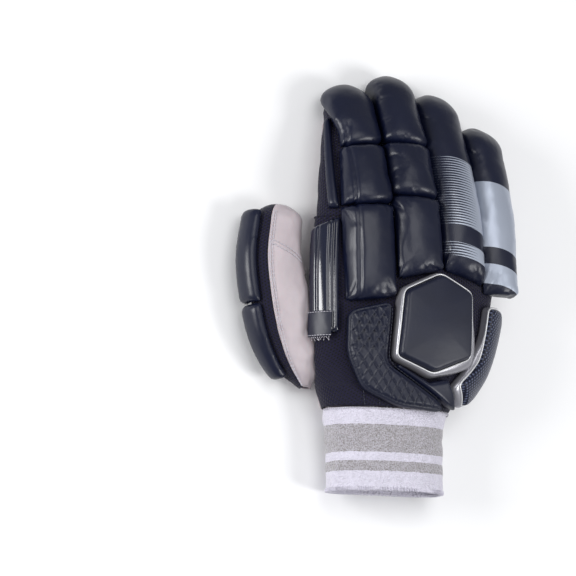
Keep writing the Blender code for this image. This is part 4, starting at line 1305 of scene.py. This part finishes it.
class GloveSizes(bpy.types.PropertyGroup):
    """Sizes that change how the dressed glove looks, in metres."""

    pad_voxel: FloatProperty(
        name="Pad mesh", description="Size of the cells that the finger pads are made of",
        default=0.0016, unit="LENGTH")
    pad_swell: FloatProperty(
        name="Pad swell", description="The most that the filling pushes a pad's cover out",
        default=0.0014, unit="LENGTH")
    filling: FloatProperty(
        name="Filling", description="Pressure of the filling inside the pads", default=900.0)
    fill_share: FloatProperty(
        name="Fullness", description="How full the pads are", default=0.75, subtype="FACTOR")
    mesh_spacing: FloatProperty(
        name="Mesh holes", description="Distance between the holes of the air mesh",
        default=0.0024, unit="LENGTH")
    line_spacing: FloatProperty(
        name="Printed lines", description="Distance between the printed lines",
        default=0.0019, unit="LENGTH")
    loop_size: FloatProperty(
        name="Terry loops", description="Size of the wristband's loops",
        default=0.0014, unit="LENGTH")
    dot_spacing: FloatProperty(
        name="Dots", description="Distance over which the side pad's dots repeat",
        default=0.0032, unit="LENGTH")
    stitch: FloatProperty(
        name="Stitch", description="Length of one stitch", default=0.0022, unit="LENGTH")
    vent_rows: IntProperty(
        name="Vents", description="Rows of punched vents on each finger", default=9)


def colour(name, about, hex_colour):
    return FloatVectorProperty(name=name, description=about, subtype="COLOR", size=3,
                               min=0.0, max=1.0, default=linear(hex_colour))


class GloveColours(bpy.types.PropertyGroup):
    """Colours of the glove's finishes."""

    navy: colour("Navy", "Padding in shade", "#060b20")
    navy_high: colour("Navy, light", "Padding where it is lightest", "#0d132c")
    silver_print: colour("Printed silver", "Bands on the rolls", "#a5acba")
    # Painted shade: the colour of the dark inside of the air mesh's holes
    mesh_low: colour("Mesh holes", "Depth of the air mesh", "#020206")
    mesh_high: colour("Mesh", "Threads of the air mesh", "#110e2a")
    leather: colour("Leather", "Whitened leather", "#c9bfc3")
    leather_low: colour("Leather, dull", "Handled leather", "#ab9fa4")
    towel: colour("Terry", "Wristband", "#d9d5e4")
    melange: colour("Stripe", "Flecked stripes", "#85807e")
    trim: colour("Trim", "Moulded trim", "#b9b8be")
    trim_low: colour("Trim, dark", "Moulded trim in shade", "#8b8a91")
    piping: colour("Piping", "Bright edges", "#e8e8ea")
    strap: colour("Strap", "Wrist strap", "#e6e6ec")
    block: colour("Blocks", "Grey blocks on the strap", "#7d7f88")
    hook: colour("Hook tape", "End of the strap", "#15151a")
    thread: colour("Thread", "Stitches", "#c9c6d0")


class GLOVE_OT_stage(bpy.types.Operator):
    """Adds the floor, the soft lights and the camera."""

    bl_idname = "glove.stage"
    bl_label = "Stage"

    def execute(self, context):
        scene = context.scene
        work = bmesh.new()
        bmesh.ops.create_grid(work, x_segments=1, y_segments=1, size=4.0)
        mesh = bpy.data.meshes.new("floor")
        work.to_mesh(mesh)
        work.free()
        floor = bpy.data.objects.new("floor", mesh)
        scene.collection.objects.link(floor)
        # Painted paper backdrop: matt and almost white
        paper, tree, shader, place = start_finish("backdrop paper", 0.9)
        spread_colour(tree, shader, place, linear("#f6f6f7"), linear("#fafafa"), 400.0)
        mesh.materials.append(paper)
        floor.location.z = -FLOOR_GAP
        for name, spot, size, power in (
            ("right", (0.85, -0.35, 1.05), 0.5, 9.0),
            ("left", (-1.0, 0.15, 0.45), 0.4, 7.5),
            ("above", (-0.1, 0.5, 1.6), 1.0, 9.0),
        ):
            lamp = bpy.data.lights.new(name, "AREA")
            lamp.size, lamp.energy = size, power
            made = bpy.data.objects.new(name, lamp)
            scene.collection.objects.link(made)
            made.location = spot
            made.rotation_euler = (Vector((0.0, 0.12, 0.03)) - Vector(spot)).to_track_quat(
                "-Z", "Y").to_euler()
        world = bpy.data.worlds.new("studio")
        world.use_nodes = True
        backdrop = world.node_tree.nodes["Background"]
        backdrop.inputs[0].default_value = (0.93, 0.95, 1.0, 1.0)
        backdrop.inputs[1].default_value = 0.33
        scene.world = world
        scene.view_settings.view_transform = "Standard"
        lens = bpy.data.cameras.new("camera")
        lens.lens, lens.sensor_width = 160.7, 36.0
        camera = bpy.data.objects.new("camera", lens)
        scene.collection.objects.link(camera)
        forward = Vector((0.4162, 0.1736, -0.8925))
        right, up = Vector((0.9063, 0.0, 0.4226)), Vector((-0.0734, 0.9848, 0.1574))
        aim = Vector((-0.009, 0.112, 0.030))
        camera.location = aim - 1.8 * forward - 0.063 * right + 0.0035 * up
        back = -forward
        camera.rotation_mode = "QUATERNION"
        camera.rotation_quaternion = Matrix(
            ((right.x, up.x, back.x), (right.y, up.y, back.y), (right.z, up.z, back.z))
        ).to_quaternion()
        scene.camera = camera
        return {"FINISHED"}


def pad_folds(segment, mesh):
    """Moves a pad's points for the index finger's creased facet and for puckers at the seams."""
    digit, skin = DIGITS[segment.digit], FINGERS[segment.digit]
    start = FORK_Y + segment.start * (digit.length if segment.start > 0.0 else PALM_LENGTH)
    stop = skin.last if segment.stop is None else FORK_Y + segment.stop * digit.length
    normals = [vertex.normal.copy() for vertex in mesh.vertices]
    for vertex, normal in zip(mesh.vertices, normals):
        spot = vertex.co / MM
        if normal.z < -0.2:
            continue
        ends = [abs(spot.y - start)] + ([] if segment.stop is None else [abs(stop - spot.y)])
        near = math.exp(-min(ends) / 5.0)
        pucker = noise.noise(Vector((spot.x / 2.6, spot.y / 11.0, segment.start * 40.0)))
        out = 0.55 * near * pucker + wrinkled(spot, 0.35, 14.0, 3.1)
        if segment.digit == 0:
            crease = roll_line(0, spot.y) + 8.5
            away = spot.x - crease
            fade = min(max((skin.straight - 8.0 - spot.y) / 12.0, 0.0), 1.0)
            out -= 1.3 * fade * math.exp(-(away / 1.1) ** 2)
            if away < 0.0:
                out -= 0.16 * fade * min(-away, 5.0)
        vertex.co += normal * out * MM


class GLOVE_OT_finger_pads(bpy.types.Operator):
    """Makes the padded segments and rolls over the fingers."""

    bl_idname = "glove.finger_pads"
    bl_label = "Finger pads"

    def execute(self, context):
        sizes, look = context.scene.glove_sizes, finishes(context)
        meshes = [remeshed(finger_pad_mesh(s), sizes.pad_voxel / MM,
                           26 if s.name == "index_tip_pad" else 4) for s in SEGMENTS]
        inflated(meshes, [FINGERS[s.digit] for s in SEGMENTS], sizes.filling, sizes.pad_swell)
        for segment, mesh in zip(SEGMENTS, meshes):
            pad_folds(segment, mesh)
            for vertex in mesh.vertices:
                y = vertex.co.y / MM
                left = roll_line(segment.digit, y) + 0.25
                right = roll_line(segment.digit + 1, y) - 0.25
                vertex.co.x = min(max(vertex.co.x, left * MM), right * MM)
                vertex.co.z = max(vertex.co.z, FLOOR_GAP)
            finish = {"ring_roll": "ring", "little_roll": "little"}.get(segment.name, "padding")
            made = place_piece(segment.name + "_cover", mesh, look[finish],
                               (segment.name,), sizes.fill_share)
            subdivided(made)
        return {"FINISHED"}


class GLOVE_OT_sleeves(bpy.types.Operator):
    """Makes the fingers' mesh tubes, the web between them and the pad beside the index."""

    bl_idname = "glove.sleeves"
    bl_label = "Finger sleeves"

    def execute(self, context):
        sizes, look = context.scene.glove_sizes, finishes(context)
        for digit, skin in zip(DIGITS, FINGERS):
            name = digit.name + "_sleeve"
            made = place_piece(name + "_mesh", sleeve_mesh(skin, name), look["mesh"],
                               (name,))
            thicken(made, 1.0)
        web = place_piece("finger_web", web_mesh(), look["mesh"])
        thicken(web, 0.8, smooth=False)
        mesh = cushion_mesh(
            FINGERS[0], FORK_Y + 0.05 * DIGITS[0].length, FINGERS[0].straight - 5.0, (128.5, 146.0),
            height=5.0, seat=0.4, edge=1.2, power=2.4, drift=17.0)
        place_piece("index_side_ridge", mesh, look["padding"],
                    ("index_side_pad",), sizes.fill_share)
        return {"FINISHED"}


class GLOVE_OT_palm(bpy.types.Operator):
    """Makes the leather palm with its finger fronts, seams and vents."""

    bl_idname = "glove.palm"
    bl_label = "Palm"

    def execute(self, context):
        sizes, look = context.scene.glove_sizes, finishes(context)
        made = place_piece("palm_sheet", palm_mesh(), look["leather"],
                           ("palm_leather",))
        thicken(made, LEATHER)
        out = LEATHER_SEAT + LEATHER + 0.5
        lines, vents = [], []
        for skin in FINGERS:
            end = skin.straight + FRONT_END * skin.end - 2.0
            for side in (-1.0, 1.0):
                lines.append([
                    skin.point(s, 270.0 + side * 0.86 * front_reach(skin, s), out)
                    for s in steps(FORK_Y, end, 50)])
            for k in range(sizes.vent_rows):
                for column in (-1, 0, 1):
                    s = mix(FORK_Y + 6.0, end - 9.0, (k + 0.5 * (column != 0)) / sizes.vent_rows)
                    angle = 270.0 + 17.0 * column
                    vents.append((skin.point(s, angle, out - 0.1), skin.normal(s, angle)))
        for row in range(5):
            for k in range(9):
                s = WRIST_Y + 66.0 + 9.0 * row
                here, _ = BODY.section(s)
                angle = BODY.angle_at(here.x + (k - 4.0) * 9.0 + 4.5 * (row % 2), s, False)
                vents.append((BODY.point(s, angle, out + 0.2), BODY.normal(s, angle)))
        stitches("palm_stitching", lines, look["thread"], sizes.stitch / MM)
        # The vent discs carry painted shade, dark for the inside of each hole
        discs("palm_vents", vents, 0.75, look["hole"])
        return {"FINISHED"}


class GLOVE_OT_hand_back(bpy.types.Operator):
    """Makes the mesh over the back of the hand."""

    bl_idname = "glove.hand_back"
    bl_label = "Back of the hand"

    def execute(self, context):
        look = finishes(context)
        made = place_piece("hand_back_cloth", hand_back_mesh(), look["mesh"],
                           ("hand_back",))
        thicken(made, 1.2, smooth=False)
        seams = []
        for x in (-33.0, -20.0, 45.0):
            seams.append(back_line(
                [Vector((x * mix(0.8, 1.0, t), mix(WRIST_Y + 2.0, 92.0, t), 0.0))
                 for t in steps(0.0, 1.0, 40)], 0.3))
        stitches("hand_back_seams", seams, look["dark_thread"],
                 context.scene.glove_sizes.stitch / MM)
        return {"FINISHED"}


class GLOVE_OT_thumb(bpy.types.Operator):
    """Makes the thumb: leather, mesh, seams and the two padded guards."""

    bl_idname = "glove.thumb"
    bl_label = "Thumb"

    def execute(self, context):
        sizes, look = context.scene.glove_sizes, finishes(context)
        made = place_piece("thumb_leather_cover", thumb_leather_mesh(), look["leather"],
                           ("thumb_leather",))
        thicken(made, LEATHER)
        angles = steps(THUMB_SEAM_BACK + 0.6, 360.0 + THUMB_SEAM_PALM - 0.6, 40)
        made = place_piece("thumb_mesh_cover", thumb_shell("thumb_mesh_sheet", angles, 0.4, 9.0),
                           look["mesh"], ("thumb_mesh",))
        thicken(made, 1.2)
        middle = THUMB_HEEL_Y + 0.44 * THUMB_LENGTH
        spans = (
            ("thumb_guard_upper", middle, THUMB.straight + 0.4 * THUMB_END),
            ("thumb_guard_lower", THUMB_HEEL_Y + 0.07 * THUMB_LENGTH, middle - 1.0),
        )
        meshes = [remeshed(cushion_mesh(THUMB, start, stop, (146.0, 206.0), height=7.6, seat=0.8,
                                        edge=2.0, power=2.2),
                           sizes.pad_voxel / MM, 2) for _, start, stop in spans]
        inflated(meshes, [THUMB, THUMB], sizes.filling, 0.5 * sizes.pad_swell)
        for (name, _, _), mesh in zip(spans, meshes):
            for vertex in mesh.vertices:
                vertex.co.z = max(vertex.co.z, FLOOR_GAP)
            made = place_piece(name + "_cover", mesh, look["padding"], (name,),
                               sizes.fill_share)
            subdivided(made)
        along = steps(HOLE_FROM, THUMB.straight + 6.0, 90)
        lines = [[THUMB.point(s, angle, 0.3) for s in along] for angle in (
            THUMB_SEAM_BACK - 5.0, THUMB_SEAM_BACK - 10.0,
            360.0 + THUMB_SEAM_PALM + 5.0, 360.0 + THUMB_SEAM_PALM + 10.0)]
        cross = THUMB_OPEN_UNTIL + 12.0
        for shift in (-1.4, 1.4):
            lines.append([THUMB.point(cross + shift + 0.16 * (a - 60.0), a, 0.4)
                          for a in steps(46.0, THUMB_SEAM_BACK - 4.0, 40)])
        stitches("thumb_stitching", lines, look["thread"], sizes.stitch / MM)
        return {"FINISHED"}


class GLOVE_OT_badge(bpy.types.Operator):
    """Makes the bare hexagonal pad with its moulded surround and piping."""

    bl_idname = "glove.badge"
    bl_label = "Hexagon"

    def execute(self, context):
        look = finishes(context)
        mesh = panel_mesh(BADGE, height=13.2, edge=9.0, rim=3.0, corner=BADGE_CORNER, fine=1.0,
                          seat=0.6, relief=crown)
        place_piece("hex_plate", mesh, look["plate"], ("hex_pad",), 0.9)
        edge = rounded(BADGE, BADGE_CORNER, 1.5)
        towards = Vector((0.75, -0.66, 0.0))
        ring = moulding_mesh(edge, BADGE_MIDDLE, lambda away: (
            3.0 + 5.6 * max(0.0, away.dot(towards)) ** 3), 9.6, on_back)
        place_piece("hex_moulding", ring, look["silver"], ("hex_surround",))
        cord_along("hex_piping", [back_line(grown(edge, BADGE_MIDDLE, 0.9), 9.9)], 0.5,
                   look["piping"], closed=True)
        return {"FINISHED"}


class GLOVE_OT_quilt(bpy.types.Operator):
    """Makes the embossed panel and the plain strip below the hexagon."""

    bl_idname = "glove.quilt"
    bl_label = "Quilted panel"

    def execute(self, context):
        sizes, look = context.scene.glove_sizes, finishes(context)
        mesh = panel_mesh(QUILT, height=6.6, edge=3.0, rim=2.2, corner=QUILT_CORNER, fine=0.62,
                          seat=0.8, relief=scales_and_lattice)
        place_piece("quilt_cover", mesh, look["embossed"], ("quilted_pad",), 0.6)
        mesh = panel_mesh(STRIP, height=7.0, edge=3.0, rim=2.5, corner=2.0, fine=0.9, seat=0.8)
        place_piece("strip_cover", mesh, look["padding"], ("lower_strip",), 0.7)
        edge = rounded(QUILT, QUILT_CORNER, 2.0)
        centre = sum(edge, Vector()) / len(edge)
        stitches("quilt_stitching", [back_line(grown(edge, centre, -2.2), 6.9)],
                 look["dark_thread"], sizes.stitch / MM)
        return {"FINISHED"}


class GLOVE_OT_side_pad(bpy.types.Operator):
    """Makes the dotted pad round the little finger's side, with its bright edge."""

    bl_idname = "glove.side_pad"
    bl_label = "Side pad"

    def execute(self, context):
        look = finishes(context)
        mesh = panel_mesh(SIDE_PAD, height=9.0, edge=4.0, rim=3.2, corner=SIDE_CORNER, fine=0.9,
                          seat=0.9, flank=True)
        place_piece("side_pad_cover", mesh, look["dotted"],
                    ("little_side_pad",), 0.8)
        edge = rounded([(x * FLANK_SCALE, y) for x, y in SIDE_PAD], SIDE_CORNER, 2.0)
        centre = sum(edge, Vector()) / len(edge)
        # On the flank a larger angle is nearer the hexagon, so the wide bevel looks that way
        towards = Vector((0.85, -0.53, 0.0))
        ring = moulding_mesh(edge, centre, lambda away: (
            1.2 + 4.6 * max(0.0, away.dot(towards)) ** 2), 6.4, on_flank)
        place_piece("side_pad_moulding", ring, look["silver"])
        cord_along("side_pad_piping", [flank_line(grown(edge, centre, 0.3), 6.6)], 0.6,
                   look["piping"], closed=True)
        return {"FINISHED"}


class GLOVE_OT_side_bar(bpy.types.Operator):
    """Makes the glossy shell beside the index finger and the tag at its foot."""

    bl_idname = "glove.side_bar"
    bl_label = "Side bar"

    def execute(self, context):
        look = finishes(context)
        start, stop = WRIST_Y + 0.38 * PALM_LENGTH, FORK_Y - 6.0

        def grooves(angle):
            return sum(-1.5 * math.exp(-((angle - at) / 0.8) ** 2) for at in (146.5, 151.0, 164.0))

        mesh = cushion_mesh(BODY, start, stop, (141.5, 177.0), height=4.5, seat=0.4, edge=1.6,
                            power=3.0, fine=1.2, relief=grooves, lean=4.0)
        place_piece("side_bar_shell", mesh, look["gloss"], ("index_side_bar",))
        rows = steps(WRIST_Y + 0.355 * PALM_LENGTH, WRIST_Y + 0.49 * PALM_LENGTH, 14)
        grid = [[BODY.point(s, a, 6.0 + wrinkled(BODY.base(s, a), 0.25, 6.0))
                 for a in steps(148.0, 174.0, 20)] for s in rows]
        mesh = mesh_of([(grid, None)], "tag_sheet")
        turn_outward(mesh, Vector((-1.0, 0.0, 1.0)))
        made = place_piece("side_tag_label", mesh, look["plate"], ("side_tag",))
        thicken(made, 0.8)
        loops = [[BODY.point(rows[0] + 1.0, a, 6.5) for a in steps(149.0, 173.0, 20)],
                 [BODY.point(rows[-1] - 1.0, a, 6.5) for a in steps(149.0, 173.0, 20)]]
        for k in range(9):
            a = 150.0 + 2.3 * k
            sway = noise.noise(Vector((k * 1.7, 0.3, 0.0)))
            loops.append([BODY.point(rows[0] - 0.5 - 0.6 * n, a + 2.5 * sway * n, 5.6 - 0.5 * n)
                          for n in range(4)])
        stitches("tag_stitching", loops, look["thread"], 1.6, 2.1, 0.22)
        return {"FINISHED"}


class GLOVE_OT_wristband(bpy.types.Operator):
    """Makes the striped terry wristband with its hem and stitched edge."""

    bl_idname = "glove.wristband"
    bl_label = "Wristband"

    def execute(self, context):
        look = finishes(context)
        angles = steps(0.0, 360.0, 150)[:-1]
        grid = []
        for s in steps(CUFF_END_Y, WRIST_Y - 0.4, 54):
            pinch = 0.8 * math.exp(-((s - WRIST_Y) / 3.0) ** 2)
            grid.append([
                BODY.point(s, a, -pinch + max(wrinkled(BODY.base(s, a), 1.1, 12.0), -0.8)
                           - 0.3) for a in angles])
        mesh = mesh_of([(grid, None)], "cuff_tube", closed=True)
        turn_outward(mesh)
        made = place_piece("wristband_knit", mesh, look["towel"],
                           ("wrist_cuff",))
        thicken(made, CUFF_WALL)
        hem = []
        for k in range(150):
            a = 2.4 * k
            hem.append([BODY.point(CUFF_END_Y + y, a, out) for y, out in (
                (0.6, -2.2), (0.1, -1.2), (0.2, -0.4), (1.2, -0.2), (2.4, -0.3))])
        cord_along("wristband_hem", hem, 0.42, look["towel"])
        top = [[BODY.point(WRIST_Y - 1.4 + 0.8 * (k % 2), a, 0.4)
                for k, a in enumerate(steps(0.0, 180.0, 120))]]
        stitches("wristband_stitching", top, look["thread"], 2.0, 2.4)
        return {"FINISHED"}


class GLOVE_OT_strap(bpy.types.Operator):
    """Makes the strap under the wrist, its bare patch, its hook end and its grey blocks."""

    bl_idname = "glove.strap"
    bl_label = "Wrist strap"

    def execute(self, context):
        look = finishes(context)
        angles = steps(STRAP_FROM, STRAP_TO, 90)

        def strap_point(share, angle, out):
            narrow = 0.30 * max(0.0, 1.0 - (angle - STRAP_FROM) / 16.0)
            seat = 0.4 + 0.5 * max(0.0, (angle - 300.0) / (STRAP_TO - 300.0))
            return BODY.point(0.5 * STRAP_WIDTH * share * (1.0 - narrow), angle, seat + out)

        shares = steps(-1.0, 1.0, 24)
        inner = [[strap_point(v, a, 0.0) for a in angles] for v in shares]
        outer = [[strap_point(v, a, STRAP_THICKNESS * (0.82 + 0.18 * bulge(v, 10.0)))
                  for a in angles] for v in shares]
        place_piece("strap_band", closed_between(inner, outer), look["white"],
                    ("wrist_strap",))
        sewn = [[strap_point(side * 0.9, a, STRAP_THICKNESS + 0.1) for a in angles]
                for side in (-1.0, 1.0)]
        sewn.append([strap_point(v, STRAP_FROM + 1.6, STRAP_THICKNESS + 0.1)
                     for v in steps(-0.9, 0.9, 30)])
        stitches("strap_stitching", sewn, look["thread"], 1.8, 2.6)
        top, half = PATCH_THICKNESS, 18.0
        outline = [(-10.5, -0.85 * half), (12.0, -half), (17.0, -0.2 * half), (15.0, half),
                   (-8.0, half), (-13.5, 0.0)]
        border = rounded(outline, 2.0, 1.5)
        work = bmesh.new()
        rings = []
        for shrink, z in ((0.0, top), (0.0, 0.5), (0.5, 0.0)):
            rings.append([work.verts.new(Vector((p.x * (1 - shrink / 14.0),
                                                 p.y * (1 - shrink / 18.0), z)) * MM)
                          for p in border])
        join_rings(work, rings)
        place_piece("strap_patch", mesh_from(work, "patch"), look["white"],
                    ("strap_badge",))
        seat = 0.4 + STRAP_THICKNESS + 0.4
        rows = steps(-28.0, -17.0, 12)
        columns = steps(308.0, 316.0, 14)
        inner = [[BODY.point(s, a, seat) for a in columns] for s in rows]
        outer = [[BODY.point(s, a, seat + HOOK_THICKNESS) for a in columns] for s in rows]
        place_piece("hook_end", closed_between(inner, outer), look["hook"],
                    ("strap_end",))
        blocks = []
        for start, stop in ((322.0, 329.0), (333.0, 340.0)):
            columns = steps(start, stop, 10)
            low = [[strap_point(v, a, STRAP_THICKNESS) for a in columns]
                   for v in steps(-0.6, 0.6, 16)]
            high = [[strap_point(v, a, STRAP_THICKNESS + 0.7) for a in columns]
                    for v in steps(-0.6, 0.6, 16)]
            blocks.append(closed_between(low, high))
        for k, mesh in enumerate(blocks):
            place_piece("strap_block_%d" % (k + 1), mesh, look["block"])
        return {"FINISHED"}


class GLOVE_PT_panel(bpy.types.Panel):
    """Lists the glove's pieces, sizes and colours."""

    bl_idname = "GLOVE_PT_panel"
    bl_label = "Batting glove"
    bl_space_type = "VIEW_3D"
    bl_region_type = "UI"
    bl_category = "Glove"

    def draw(self, context):
        for operator in OPERATORS:
            self.layout.operator(operator.bl_idname)
        for group in (context.scene.glove_sizes, context.scene.glove_colours):
            box = self.layout.box()
            for key in group.bl_rna.properties.keys():
                if key not in ("rna_type", "name"):
                    box.prop(group, key)


OPERATORS = (
    GLOVE_OT_stage, GLOVE_OT_finger_pads, GLOVE_OT_sleeves, GLOVE_OT_palm, GLOVE_OT_hand_back,
    GLOVE_OT_thumb, GLOVE_OT_badge, GLOVE_OT_quilt, GLOVE_OT_side_pad, GLOVE_OT_side_bar,
    GLOVE_OT_wristband, GLOVE_OT_strap,
)
CLASSES = (GloveSizes, GloveColours) + OPERATORS + (GLOVE_PT_panel,)


def register():
    for kind in CLASSES:
        bpy.utils.register_class(kind)
    bpy.types.Scene.glove_sizes = PointerProperty(type=GloveSizes)
    bpy.types.Scene.glove_colours = PointerProperty(type=GloveColours)


def unregister():
    del bpy.types.Scene.glove_sizes
    del bpy.types.Scene.glove_colours
    for kind in reversed(CLASSES):
        bpy.utils.unregister_class(kind)


def main():
    register()
    for operator in OPERATORS:
        group, name = operator.bl_idname.split(".")
        getattr(getattr(bpy.ops, group), name)()


if __name__ == "__main__":
    main()
